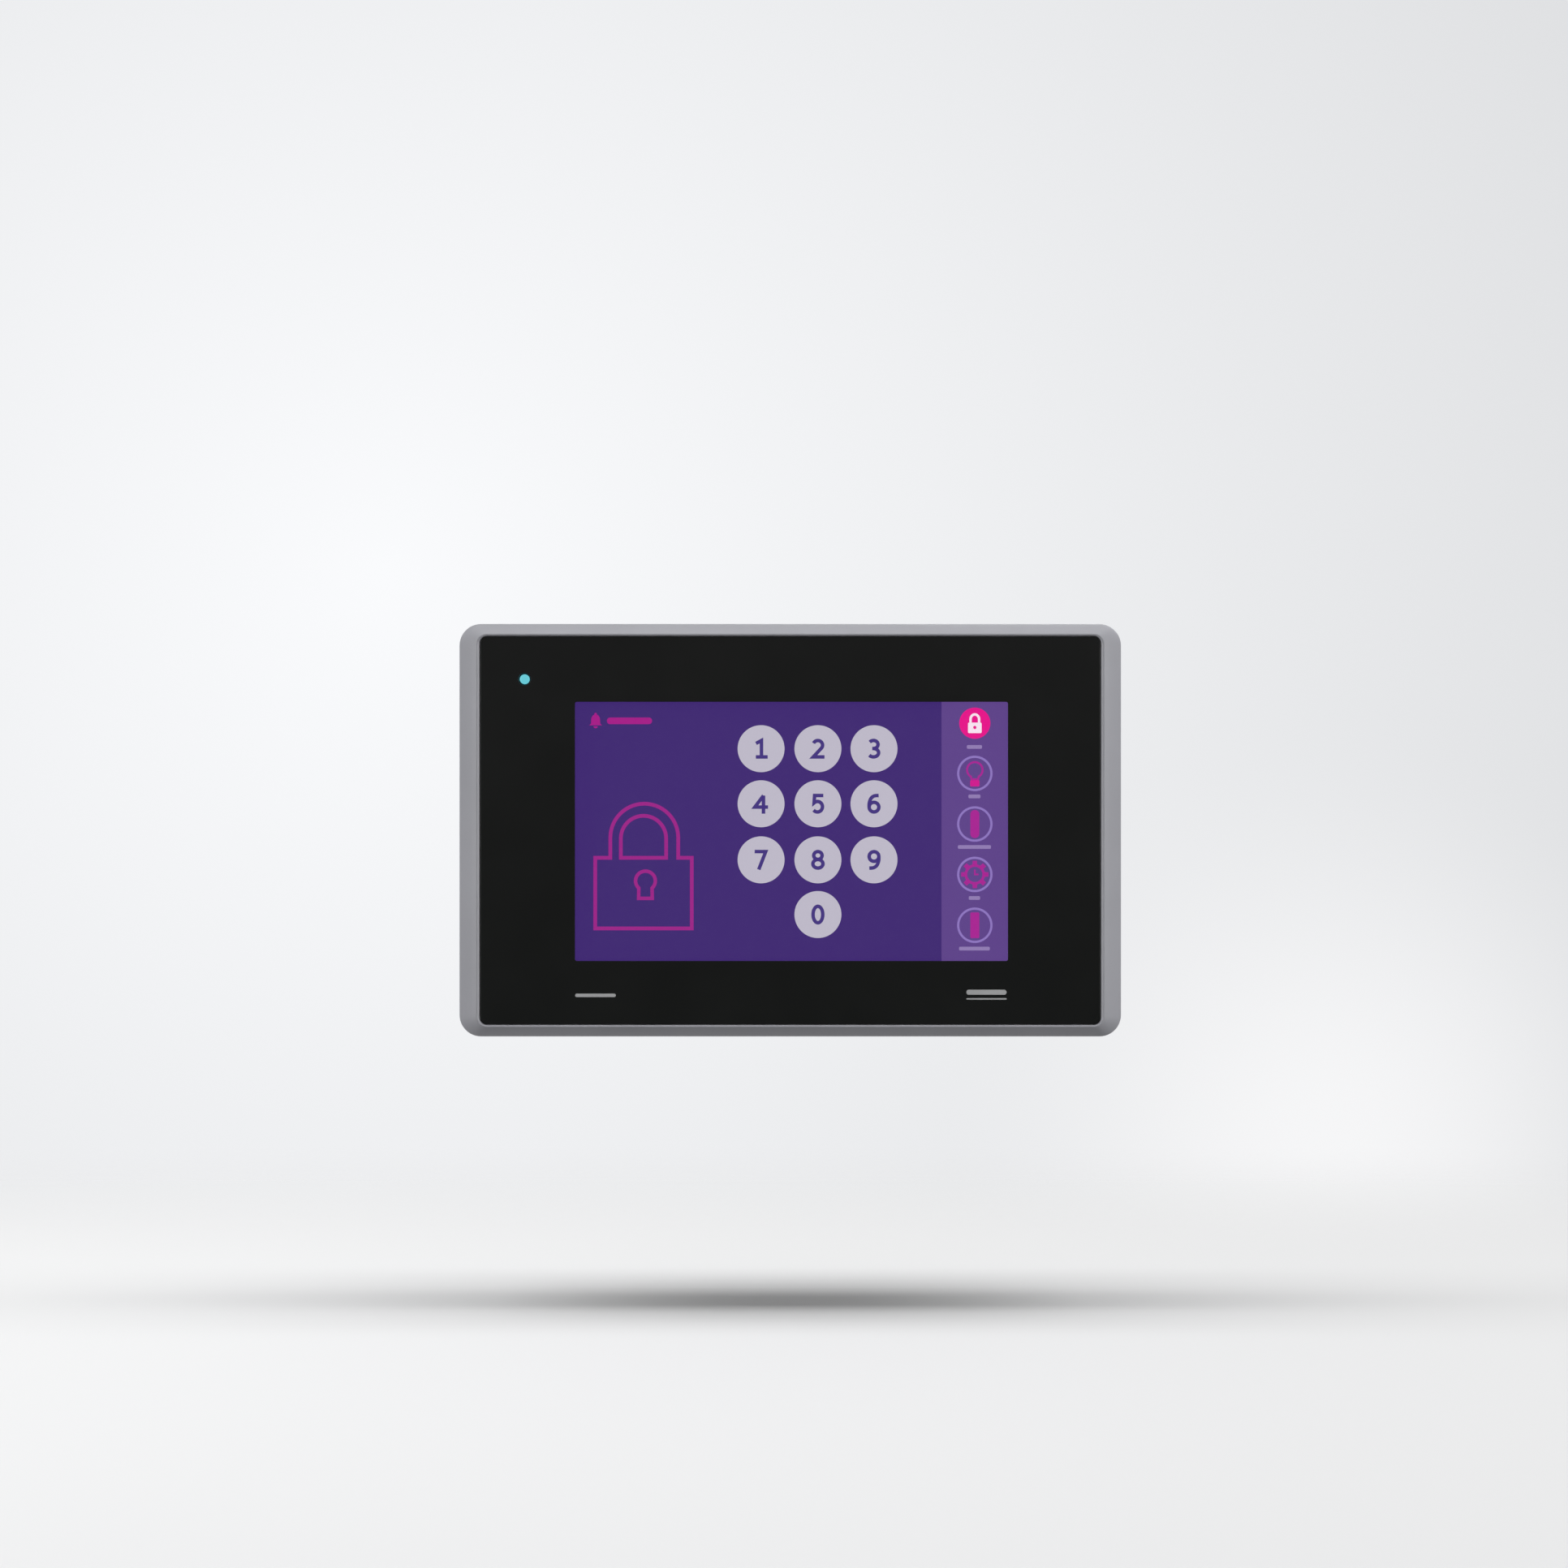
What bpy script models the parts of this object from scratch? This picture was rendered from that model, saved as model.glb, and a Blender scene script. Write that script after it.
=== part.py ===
"""Touch-screen alarm keypad panel, made to be clamped in a cut-out of a door or wall plate.

Lengths are millimetres here, and MM turns them into Blender's metres.
X points right for someone facing the screen, Y points from the screen into the wall, Z is up.
The origin is the middle of the cut-out, on the wall's front surface, where the gasket seats.
"""

import math

import bmesh
import bpy
from mathutils import Matrix, Vector

MM = 0.001
GAP = 0.3  # air between neighbouring pieces
CORNER_STEPS = 5  # segments in a quarter circle of an outline
TURN_STEPS = 16  # segments round a turned piece

# Front frame: silhouette, sloped border, lip and recess for the overlay
FRAME_WIDTH, FRAME_HEIGHT, FRAME_RADIUS = 170.0, 106.0, 5.5
FRAME_BACK_Y, SLOPE_START_Y, CREST_Y = -0.8, -2.4, -7.0
CREST_WIDTH, CREST_HEIGHT, CREST_RADIUS = 160.6, 101.0, 2.6
SLOPE_POWER = 1.3  # 1 is a flat slope, 2 a quarter ellipse
SLOPE_STEPS = 4
RECESS_WIDTH, RECESS_HEIGHT, RECESS_RADIUS = 159.1, 99.8, 1.9
SEAT_Y, WEB_BACK_Y = -5.8, -3.8
POCKET_WIDTH, POCKET_HEIGHT, POCKET_RADIUS = 122.6, 79.2, 1.5
RIM_INSIDE_WIDTH, RIM_INSIDE_HEIGHT, RIM_INSIDE_RADIUS = 150.5, 86.5, 3.0

# Sealing gasket, in a groove in the frame's back
GASKET_OUTER = (164.0, 100.0, 4.0)
GASKET_INNER = (158.8, 94.8, 2.4)
GASKET_FRONT_Y = -2.0
GROOVE_Y = -2.3

# Screen stack, front to back
OVERLAY_SIZE = (158.5, 99.2, 1.6)
OVERLAY_Y = (-6.6, -6.1)
TOUCH_SIZE = (121.4, 78.0, 1.0)
TOUCH_Y = (-5.8, -4.2)
CUSHION_OUTER, CUSHION_INNER = (118.8, 74.2, 1.0), (113.6, 69.6, 1.0)
CUSHION_Y = (-3.9, -3.3)
CELL_SIZE, CELL_Y = (117.4, 72.6, 0.8), (-3.0, -1.7)
GUIDE_SIZE, GUIDE_Y = (116.6, 71.8, 0.8), (-1.4, -0.4)
TRAY_WIDTH, TRAY_HEIGHT, TRAY_RADIUS, TRAY_WALL = 120.6, 75.8, 1.6, 1.1
TRAY_FLOOR_Y, TRAY_BACK_Y = -0.1, 0.9

# Status light, top left of the screen
LIGHT_X, LIGHT_Z, LIGHT_RADIUS = -68.0, 38.7, 1.25

# Chassis plate, and the main board on its standoffs
CHASSIS_SIZE, CHASSIS_Y = (148.8, 74.0, 4.0), (1.2, 2.2)
BOARD_WIDTH, BOARD_BOTTOM_Z, BOARD_TOP_Z = 146.0, -18.5, 42.0
BOARD_Y = (13.7, 15.3)
BOARD_SCREW_PLACES = [(x, z) for x in (-60.0, 60.0) for z in (-14.0, 33.0)]
ON_BOARD_Y = BOARD_Y[1] + GAP

# Rear housing: a box with a bay cut out of its lower middle, where the ports face down
HOUSING_WIDTH, HOUSING_HEIGHT, HOUSING_RADIUS, HOUSING_WALL = 154.0, 90.0, 4.0, 2.2
HOUSING_FRONT_Y, HOUSING_BACK_Y, HOUSING_EDGE = -0.5, 40.0, 1.6
BAY_HALF_WIDTH, BAY_FRONT_Y, BAY_CEILING_Z = 47.0, 13.0, -22.0
COLUMN_X, COLUMN_Z = 70.4, 28.0  # where the long screws clamp housing, chassis and frame together
BOSS_RADIUS, BOSS_TOP_Y = 3.4, 0.9
COUNTERBORE_Y = 12.4
GROUND_X, GROUND_Z = -62.0, -33.0

# Ports in the bay's ceiling, left to right
HEADER_X, SWITCH_X, ETHERNET_X, USB_X, SERIAL_X = -36.4, -22.2, -9.0, 8.2, 31.1
SERIAL_Y = 22.0
PORT_MOUTH_Z = -23.2
POLE_PITCH = 5.08
PLUG_POLES = [HEADER_X + POLE_PITCH * step for step in (-1, 0, 1)]
TERMINAL_Z = -33.3

# Mounting clamps, two on the housing's top and two underneath
CLAMP_X = 62.0
CLAMP_SCREW_RISE = 4.2  # screw axis above the housing wall
HOOK_OFFSET = 3.4
FOOT_FRONT_Y = 5.0
CLAMP_SCREW_RADIUS = 2.0

MANY_CUTS = ("front_frame", "chassis_plate", "rear_housing")  # where EXACT drops ring-shaped faces

PLANES = {
    "XZ": Matrix.Rotation(math.radians(90), 4, "X"),
    "XY": Matrix.Identity(4),
    "YZ": Matrix(((0, 0, 1, 0), (1, 0, 0, 0), (0, 1, 0, 0), (0, 0, 0, 1))),
}
NORMALS = {"XZ": (0, 1, 0), "XY": (0, 0, 1), "YZ": (1, 0, 0)}
TO_PLUS_Y = (math.radians(-90), 0, 0)
TO_PLUS_Z = (0, 0, 0)

PALETTE = {  # name: (colour, roughness, metallic)
    "grey_frame": ((0.36, 0.36, 0.38), 0.42, 0.0),
    "black_film": ((0.011, 0.012, 0.012), 0.3, 0.0),
    "clear_glass": ((0.85, 0.88, 0.9), 0.05, 0.0),
    "lcd_purple": ((0.055, 0.023, 0.168), 0.3, 0.0),
    "light_guide": ((0.9, 0.9, 0.92), 0.25, 0.0),
    "status_cyan": ((0.12, 0.7, 0.78), 0.2, 0.0),
    "black_foam": ((0.02, 0.02, 0.02), 0.9, 0.0),
    "flex_amber": ((0.55, 0.27, 0.06), 0.4, 0.0),
    "steel": ((0.62, 0.62, 0.63), 0.35, 1.0),
    "zinc": ((0.55, 0.56, 0.58), 0.4, 1.0),
    "aluminium": ((0.75, 0.75, 0.77), 0.4, 1.0),
    "board_green": ((0.02, 0.13, 0.06), 0.45, 0.0),
    "chip_black": ((0.02, 0.02, 0.022), 0.5, 0.0),
    "case_grey": ((0.2, 0.2, 0.21), 0.55, 0.0),
    "terminal_green": ((0.03, 0.3, 0.1), 0.45, 0.0),
    "port_black": ((0.018, 0.018, 0.02), 0.5, 0.0),
    "switch_red": ((0.5, 0.03, 0.03), 0.45, 0.0),
    "white_nylon": ((0.8, 0.8, 0.78), 0.5, 0.0),
    "label_silver": ((0.7, 0.7, 0.71), 0.4, 0.0),
}


def clear_scene():
    for obj in list(bpy.data.objects):
        bpy.data.objects.remove(obj)


def collection(name):
    made = bpy.data.collections.new(name)
    bpy.context.scene.collection.children.link(made)
    return made


def material(name):
    found = bpy.data.materials.get(name)
    if found:
        return found
    colour, roughness, metallic = PALETTE[name]
    made = bpy.data.materials.new(name)
    made.use_nodes = True
    shader = made.node_tree.nodes["Principled BSDF"]
    shader.inputs["Base Color"].default_value = (*colour, 1)
    shader.inputs["Roughness"].default_value = roughness
    shader.inputs["Metallic"].default_value = metallic
    return made


def add_object(name, mesh, finish):
    """A mesh as a named object among the panel's parts, with its material."""
    obj = bpy.data.objects.new(name, mesh)
    bpy.data.collections["alarm_keypad_panel"].objects.link(obj)
    if finish and not mesh.materials:
        mesh.materials.append(material(finish))
    return obj


def finish_mesh(name, bm, smooth_angle=35):
    """Closes off a bmesh: faces point out, and round parts shade smooth."""
    bmesh.ops.recalc_face_normals(bm, faces=bm.faces)
    mesh = bpy.data.meshes.new(name)
    bm.to_mesh(mesh)
    bm.free()
    mesh.shade_smooth()
    mesh.set_sharp_from_angle(angle=math.radians(smooth_angle))
    return mesh


def as_helper(obj):
    """Makes an object a cutter or a joined-on shape: it is left out of the model itself."""
    bpy.data.collections["alarm_keypad_panel"].objects.unlink(obj)
    bpy.data.collections["cutters"].objects.link(obj)
    obj.hide_render = True
    obj.display_type = "WIRE"
    return obj


def combine(target, other, operation):
    modifier = target.modifiers.new(f"{operation.lower()} {other.name}", "BOOLEAN")
    modifier.operation = operation
    modifier.solver = "MANIFOLD" if target.name in MANY_CUTS else "EXACT"
    modifier.object = as_helper(other)
    return target


def cut(target, *others):
    for other in others:
        combine(target, other, "DIFFERENCE")
    return target


def join(target, *others):
    for other in others:
        combine(target, other, "UNION")
    return target


def blocks(name, corners, finish=None, origin=(0, 0, 0)):
    """Boxes given by their lowest and highest corners, as one object."""
    bm = bmesh.new()
    for low, high in corners:
        size = Vector(high) - Vector(low)
        middle = (Vector(high) + Vector(low)) / 2 - Vector(origin)
        place = Matrix.Translation(middle * MM) @ Matrix.Diagonal((*(size * MM), 1))
        bmesh.ops.create_cube(bm, size=1, matrix=place)
    obj = add_object(name, finish_mesh(name, bm), finish)
    obj.location = Vector(origin) * MM
    return obj


def rounded_box_outline(width, height, radius, centre=(0, 0)):
    """Points round a rectangle with quarter-circle corners, anticlockwise."""
    points = []
    for corner, (across, up) in enumerate(((1, 1), (-1, 1), (-1, -1), (1, -1))):
        for step in range(CORNER_STEPS + 1):
            angle = math.radians(90 * (corner + step / CORNER_STEPS))
            points.append(
                (
                    centre[0] + across * (width / 2 - radius) + radius * math.cos(angle),
                    centre[1] + up * (height / 2 - radius) + radius * math.sin(angle),
                )
            )
    return points


def circle_outline(radius, centre=(0, 0), steps=12):
    angles = [2 * math.pi * step / steps for step in range(steps)]
    return [(centre[0] + radius * math.cos(a), centre[1] + radius * math.sin(a)) for a in angles]


def box_outline(low, high):
    return [low, (high[0], low[1]), high, (low[0], high[1])]


def flat_piece(name, outlines, span, finish=None, plane="XZ"):
    """A plate whose outline, with any holes, lies in a plane.

    Span is where its two faces are along the plane's normal."""
    curve = bpy.data.curves.new(name, "CURVE")
    curve.dimensions = "2D"
    curve.fill_mode = "BOTH"
    curve.extrude = (span[1] - span[0]) / 2 * MM
    for outline in outlines:
        spline = curve.splines.new("POLY")
        spline.points.add(len(outline) - 1)
        for point, (u, v) in zip(spline.points, outline):
            point.co = (u * MM, v * MM, 0, 1)
        spline.use_cyclic_u = True
    draft = bpy.data.objects.new(f"{name} outline", curve)
    bpy.context.scene.collection.objects.link(draft)
    graph = bpy.context.evaluated_depsgraph_get()
    mesh = bpy.data.meshes.new_from_object(draft.evaluated_get(graph))
    bpy.data.objects.remove(draft)
    bm = bmesh.new()
    bm.from_mesh(mesh)
    bpy.data.meshes.remove(mesh)
    bmesh.ops.remove_doubles(bm, verts=bm.verts, dist=1e-6)
    bm.transform(PLANES[plane])
    obj = add_object(name, finish_mesh(name, bm), finish)
    obj.location = Vector(NORMALS[plane]) * ((span[0] + span[1]) / 2 * MM)
    return obj


def loft(name, sections, finish=None, ring=False, plane="XZ"):
    """Skin through outlines of equally many points, each (outline, place along the normal).

    A ring closes on its first section; anything else is capped at both ends."""
    bm = bmesh.new()
    flip = -1 if plane == "XZ" else 1
    loops = []
    for outline, level in sections:
        points = [PLANES[plane] @ Vector((u * MM, v * MM, flip * level * MM)) for u, v in outline]
        loops.append([bm.verts.new(point) for point in points])
    pairs = list(zip(loops, loops[1:]))
    if ring:
        pairs.append((loops[-1], loops[0]))
    else:
        bm.faces.new(loops[0])
        bm.faces.new(loops[-1])
    for near, far in pairs:
        for i in range(len(near)):
            after = (i + 1) % len(near)
            bm.faces.new((near[i], near[after], far[after], far[i]))
    return add_object(name, finish_mesh(name, bm), finish)


def turned(name, profile, finish=None, origin=(0, 0, 0), turn=TO_PLUS_Y, steps=TURN_STEPS):
    """A profile of (radius, height) points, run down its outer side, spun about the local Z axis."""
    mesh = bpy.data.meshes.new(name)
    points = [(radius * MM, 0, height * MM) for radius, height in profile]
    mesh.from_pydata(points, [(i, i + 1) for i in range(len(points) - 1)], [])
    obj = add_object(name, mesh, finish)
    obj.location = Vector(origin) * MM
    obj.rotation_euler = turn
    screw = obj.modifiers.new("turned", "SCREW")
    screw.steps = screw.render_steps = steps
    screw.use_merge_vertices = True
    screw.merge_threshold = 1e-5
    if profile[0] == profile[-1]:
        weld = obj.modifiers.new("closed", "WELD")
        weld.merge_threshold = 1e-5
    return obj


def cylinder_profile(radius, low, high):
    return [(0, high), (radius, high), (radius, low), (0, low)]


def baked(source):
    """The finished mesh of an object, modifiers and placing included; the object is used up."""
    bpy.context.view_layer.update()
    graph = bpy.context.evaluated_depsgraph_get()
    shape = bpy.data.meshes.new_from_object(source.evaluated_get(graph))
    shape.transform(source.matrix_world)
    shape.materials.clear()
    bpy.data.objects.remove(source)
    return shape


def repeated(name, source, places):
    """A cutter or a joined-on shape that repeats a piece at each place."""
    shape = baked(source)
    bm = bmesh.new()
    for place in places:
        before = len(bm.verts)
        bm.from_mesh(shape)
        bm.verts.ensure_lookup_table()
        bmesh.ops.translate(bm, verts=bm.verts[before:], vec=Vector(place) * MM)
    mesh = bpy.data.meshes.new(name)
    bm.to_mesh(mesh)
    bm.free()
    return add_object(name, mesh, None)


def place_copies(name, source, places, finish):
    """Numbered pieces of one shape, each a part of its own that shares the mesh."""
    shape = baked(source)
    for number, place in enumerate(places, 1):
        copy = add_object(f"{name}_{number}", shape, finish)
        copy.location = Vector(place) * MM


def rods(name, radius, low, high, places, steps=TURN_STEPS):
    """Round bars along Y, from low to high, at (x, z) places: drills, or bosses to join on."""
    rod = turned(f"{name} rod", cylinder_profile(radius, low, high), steps=steps)
    return repeated(name, rod, [(x, 0, z) for x, z in places])


def upright_rods(name, radius, low, high, places, steps=12):
    """Round bars along Z, from low to high, at (x, y) places."""
    rod = turned(f"{name} rod", cylinder_profile(radius, low, high), turn=TO_PLUS_Z, steps=steps)
    return repeated(name, rod, [(x, y, 0) for x, y in places])


def four_corners(x, z):
    return [(across * x, up * z) for across in (-1, 1) for up in (-1, 1)]


# ---- Front frame and what seals it ----


def slope_sections():
    """The frame's border, from its side wall up to its crest, as a softly bulging slope."""
    sections = []
    for step in range(SLOPE_STEPS + 1):
        angle = math.radians(90) * step / SLOPE_STEPS
        inset = 1 - math.cos(angle) ** (2 / SLOPE_POWER)
        rise = math.sin(angle) ** (2 / SLOPE_POWER)
        outline = rounded_box_outline(
            FRAME_WIDTH + (CREST_WIDTH - FRAME_WIDTH) * inset,
            FRAME_HEIGHT + (CREST_HEIGHT - FRAME_HEIGHT) * inset,
            FRAME_RADIUS + (CREST_RADIUS - FRAME_RADIUS) * inset,
        )
        sections.append((outline, SLOPE_START_Y + (CREST_Y - SLOPE_START_Y) * rise))
    return sections


def front_frame():
    outer = rounded_box_outline(FRAME_WIDTH, FRAME_HEIGHT, FRAME_RADIUS)
    lip = rounded_box_outline(CREST_WIDTH - 0.7, CREST_HEIGHT - 0.7, CREST_RADIUS - 0.3)
    recess = rounded_box_outline(RECESS_WIDTH, RECESS_HEIGHT, RECESS_RADIUS)
    pocket = rounded_box_outline(POCKET_WIDTH, POCKET_HEIGHT, POCKET_RADIUS)
    rim = rounded_box_outline(RIM_INSIDE_WIDTH, RIM_INSIDE_HEIGHT, RIM_INSIDE_RADIUS)
    groove_inner = rounded_box_outline(GASKET_INNER[0] - 0.6, GASKET_INNER[1] - 0.6, GASKET_INNER[2])
    groove_outer = rounded_box_outline(GASKET_OUTER[0] + 0.6, GASKET_OUTER[1] + 0.6, GASKET_OUTER[2])
    sections = [(outer, FRAME_BACK_Y), *slope_sections()]
    sections += [(lip, CREST_Y), (recess, CREST_Y + 0.5), (recess, SEAT_Y)]
    sections += [(pocket, SEAT_Y), (pocket, WEB_BACK_Y), (rim, WEB_BACK_Y), (rim, FRAME_BACK_Y)]
    sections += [(groove_inner, FRAME_BACK_Y), (groove_inner, GROOVE_Y)]
    sections += [(groove_outer, GROOVE_Y), (groove_outer, FRAME_BACK_Y)]
    frame = loft("front_frame", sections, "grey_frame", ring=True)
    columns = four_corners(COLUMN_X, COLUMN_Z)
    light = [(LIGHT_X, LIGHT_Z)]
    join(frame, rods("frame bosses", BOSS_RADIUS, WEB_BACK_Y - 0.6, BOSS_TOP_Y, columns))
    cut(
        frame,
        rods("boss threads", 1.45, -3.4, BOSS_TOP_Y + 1, columns),
        rods("light hole", LIGHT_RADIUS + 0.4, SEAT_Y - 1, WEB_BACK_Y + 1, light),
    )


def ring_piece(name, outer, inner, span, finish):
    outlines = [rounded_box_outline(*outer), rounded_box_outline(*inner)]
    return flat_piece(name, outlines, span, finish)


def front_stack():
    """Everything between the frame's lip and the chassis plate."""
    light_window = circle_outline(LIGHT_RADIUS + 0.35, (LIGHT_X, LIGHT_Z))
    flat_piece(
        "front_overlay", [rounded_box_outline(*OVERLAY_SIZE), light_window], OVERLAY_Y, "black_film"
    )
    ring_piece("sealing_gasket", GASKET_OUTER, GASKET_INNER, (GASKET_FRONT_Y, 0), "black_foam")
    flat_piece("touch_panel", [rounded_box_outline(*TOUCH_SIZE)], TOUCH_Y, "clear_glass")
    ring_piece("display_cushion", CUSHION_OUTER, CUSHION_INNER, CUSHION_Y, "black_foam")
    flat_piece("lcd_cell", [rounded_box_outline(*CELL_SIZE)], CELL_Y, "lcd_purple")
    flat_piece("lcd_light_guide", [rounded_box_outline(*GUIDE_SIZE)], GUIDE_Y, "light_guide")
    outside = rounded_box_outline(TRAY_WIDTH, TRAY_HEIGHT, TRAY_RADIUS)
    inside = rounded_box_outline(
        TRAY_WIDTH - 2 * TRAY_WALL, TRAY_HEIGHT - 2 * TRAY_WALL, TRAY_RADIUS - TRAY_WALL
    )
    tray = [(outside, TRAY_BACK_Y), (outside, CELL_Y[0]), (inside, CELL_Y[0]), (inside, TRAY_FLOOR_Y)]
    loft("lcd_tray", tray, "steel")


def status_light():
    """Clear light pipe from the overlay back to the light on the board."""
    flange_y, flange_radius = WEB_BACK_Y + GAP, 2.4
    profile = [
        (0, 12.5),
        (LIGHT_RADIUS, 12.5),
        (LIGHT_RADIUS, flange_y + 0.7),
        (flange_radius, flange_y + 0.7),
        (flange_radius, flange_y),
        (LIGHT_RADIUS, flange_y),
        (LIGHT_RADIUS, OVERLAY_Y[0]),
        (0, OVERLAY_Y[0]),
    ]
    turned("status_light_pipe", profile, "status_cyan", origin=(LIGHT_X, 0, LIGHT_Z))


def ribbon(name, path, x_span, finish, thickness=0.3):
    """A flat cable: a strip of even thickness that follows (y, z) points."""
    points = [Vector(point) for point in path]
    near, far = [], []
    for i, point in enumerate(points):
        along = (points[min(i + 1, len(points) - 1)] - points[max(i - 1, 0)]).normalized()
        side = Vector((-along.y, along.x)) * thickness / 2
        near.append(tuple(point + side))
        far.append(tuple(point - side))
    return flat_piece(name, [near + far[::-1]], x_span, finish, plane="YZ")


def flat_cables():
    screen_path = [(1.4, -32), (1.7, -30.5), (2.8, -29.2), (5, -27.8), (8, -25)]
    screen_path += [(9.6, -20.5), (11.4, -16.5), (12.9, -13), (13.2, -8)]
    ribbon("lcd_flat_cable", screen_path, (-10, 12), "flex_amber")
    touch_path = [(-3.9, -38), (-3.4, -38.7), (1.4, -38.8), (4, -38.3), (6.5, -36)]
    touch_path += [(8.4, -30), (9.3, -22), (10.2, -19), (11.8, -16), (12.9, -13.5), (13.2, -10)]
    ribbon("touch_flat_cable", touch_path, (36, 42), "flex_amber")


# ---- Chassis and main board ----


def screw_profile(head_radius, head_low, head_high, radius, tip):
    """Pan head above a plain shank, with a slightly domed top."""
    return [
        (0, head_high),
        (head_radius * 0.7, head_high),
        (head_radius, head_high - 0.35 * (head_high - head_low)),
        (head_radius, head_low),
        (radius, head_low),
        (radius, tip + 0.4),
        (radius * 0.7, tip),
        (0, tip),
    ]


def pan_screws(name, profile, places, recess_y, recess_length):
    """Like screws at (x, z) places, each with a cross recess in its head."""
    screw = turned(f"{name} blank", profile, steps=12)
    long, short = recess_length / 2, 0.28
    for half_x, half_z in ((long, short), (short, long)):
        arm = ((-half_x, recess_y, -half_z), (half_x, recess_y + 3, half_z))
        cut(screw, blocks(f"{name} recess", [arm]))
    place_copies(name, screw, [(x, 0, z) for x, z in places], "zinc")


def chassis_plate():
    """Plate that clamps the screen stack, with the board's hexagonal standoffs pressed into it."""
    windows = [box_outline((-50 + 36 * i, -33), (-22 + 36 * i, -20)) for i in range(3)]
    windows += [box_outline((-50 + 36 * i, 7), (-22 + 36 * i, 26)) for i in range(3)]
    holes = [circle_outline(1.7, place) for place in four_corners(COLUMN_X, COLUMN_Z)]
    outlines = [rounded_box_outline(*CHASSIS_SIZE), *windows, *holes]
    plate = flat_piece("chassis_plate", outlines, CHASSIS_Y, "steel")
    bottom, top = sum(CHASSIS_Y) / 2, BOARD_Y[0] - GAP
    standoff = loft("standoff", [(circle_outline(2.8, steps=6), y) for y in (bottom, top)])
    places = [(x, 0, z) for x, z in BOARD_SCREW_PLACES]
    join(plate, repeated("standoffs", standoff, places))
    cut(plate, rods("standoff threads", 1.5, 8.2, top + 1, BOARD_SCREW_PLACES, steps=12))


def main_board():
    """Circuit board with what is soldered to it: chips, a coil, and the status light in front."""
    middle = (0, (BOARD_BOTTOM_Z + BOARD_TOP_Z) / 2)
    size = (BOARD_WIDTH, BOARD_TOP_Z - BOARD_BOTTOM_Z, 1.5)
    holes = [circle_outline(1.7, place) for place in BOARD_SCREW_PLACES]
    outlines = [rounded_box_outline(*size, centre=middle), *holes]
    board = flat_piece("main_board", outlines, BOARD_Y, "board_green")
    notches = [(-COLUMN_X, COLUMN_Z), (COLUMN_X, COLUMN_Z)]
    cut(board, rods("column clearance", 5.0, 10, 20, notches))
    chips = [
        on_board((4, 22), 15, 15, 1.6),
        on_board((27, 28), 9, 10.5, 1.3),
        on_board((27, 14), 9, 10.5, 1.3),
        on_board((-18, 26), 12, 18, 1.5),
        on_board((-9, 5), 7, 7, 1.3),
        on_board((-40, 2), 6, 6, 1.5),
        on_board((28, -2), 9, 5, 1.7),
        on_board((-38, 15), 10, 10, 5.3),
        ((LIGHT_X - 1, 12.8, LIGHT_Z - 0.6), (LIGHT_X + 1, BOARD_Y[0] + 0.4, LIGHT_Z + 0.6)),
    ]
    join(board, blocks("soldered chips", chips))
    cans = [(-54, 6), (-54, 17), (-46, 30)]
    join(board, rods("capacitor cans", 4.0, BOARD_Y[1] - 0.4, ON_BOARD_Y + 10, cans, steps=12))
    profile = screw_profile(2.6, ON_BOARD_Y, ON_BOARD_Y + 1.8, 1.2, 9)
    pan_screws("board_screw", profile, BOARD_SCREW_PLACES, ON_BOARD_Y + 0.9, 2.8)


def on_board(centre, width, height, thickness):
    """Corners of a soldered part on the board's rear face, its feet sunk into the solder."""
    x, z = centre
    low = (x - width / 2, BOARD_Y[1] - 0.4, z - height / 2)
    return low, (x + width / 2, BOARD_Y[1] + thickness, z + height / 2)


def buzzer():
    top = ON_BOARD_Y + 8
    profile = [(0, top - 0.8), (1.2, top - 0.8), (1.2, top), (5.6, top), (6, top - 0.4)]
    profile += [(6, ON_BOARD_Y), (0, ON_BOARD_Y)]
    turned("buzzer", profile, "chip_black", origin=(48, 0, 27))


def heat_sink():
    """Finned block on the processor, its fins upright so that air rises between them."""
    base, floor, top, half_width = 17.2, 19.0, 27.0, 14.0
    fins, fin = 7, 1.4
    pitch = (2 * half_width - fin) / (fins - 1)
    outline = [(-half_width, base), (half_width, base)]
    for i in range(fins):
        right = half_width - i * pitch
        left = right - fin
        outline += [(right, top), (left, top)]
        if i < fins - 1:
            outline += [(left, floor), (right - pitch, floor)]
    sink = flat_piece("heat_sink", [outline], (10, 34), "aluminium", plane="XY")
    sink.location.x = 4 * MM


def battery():
    centre, cell_radius, cell_thickness = (48, 6), 10.0, 3.2
    corners = ((35.5, ON_BOARD_Y, -5.5), (60.5, ON_BOARD_Y + 4.6, 17.5))
    holder = blocks("battery_holder", [corners], "port_black")
    floor = ON_BOARD_Y + 1.1
    cut(holder, rods("coin pocket", cell_radius + 0.4, floor, 25, [centre], steps=24))
    low, high = floor + GAP, floor + GAP + cell_thickness
    profile = [(0, high), (9.2, high), (cell_radius, high - 0.5), (cell_radius, low + 0.3)]
    profile += [(cell_radius - 0.3, low), (0, low)]
    turned("coin_battery", profile, "steel", origin=(centre[0], 0, centre[1]), steps=24)


# ---- Ports ----


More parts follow.
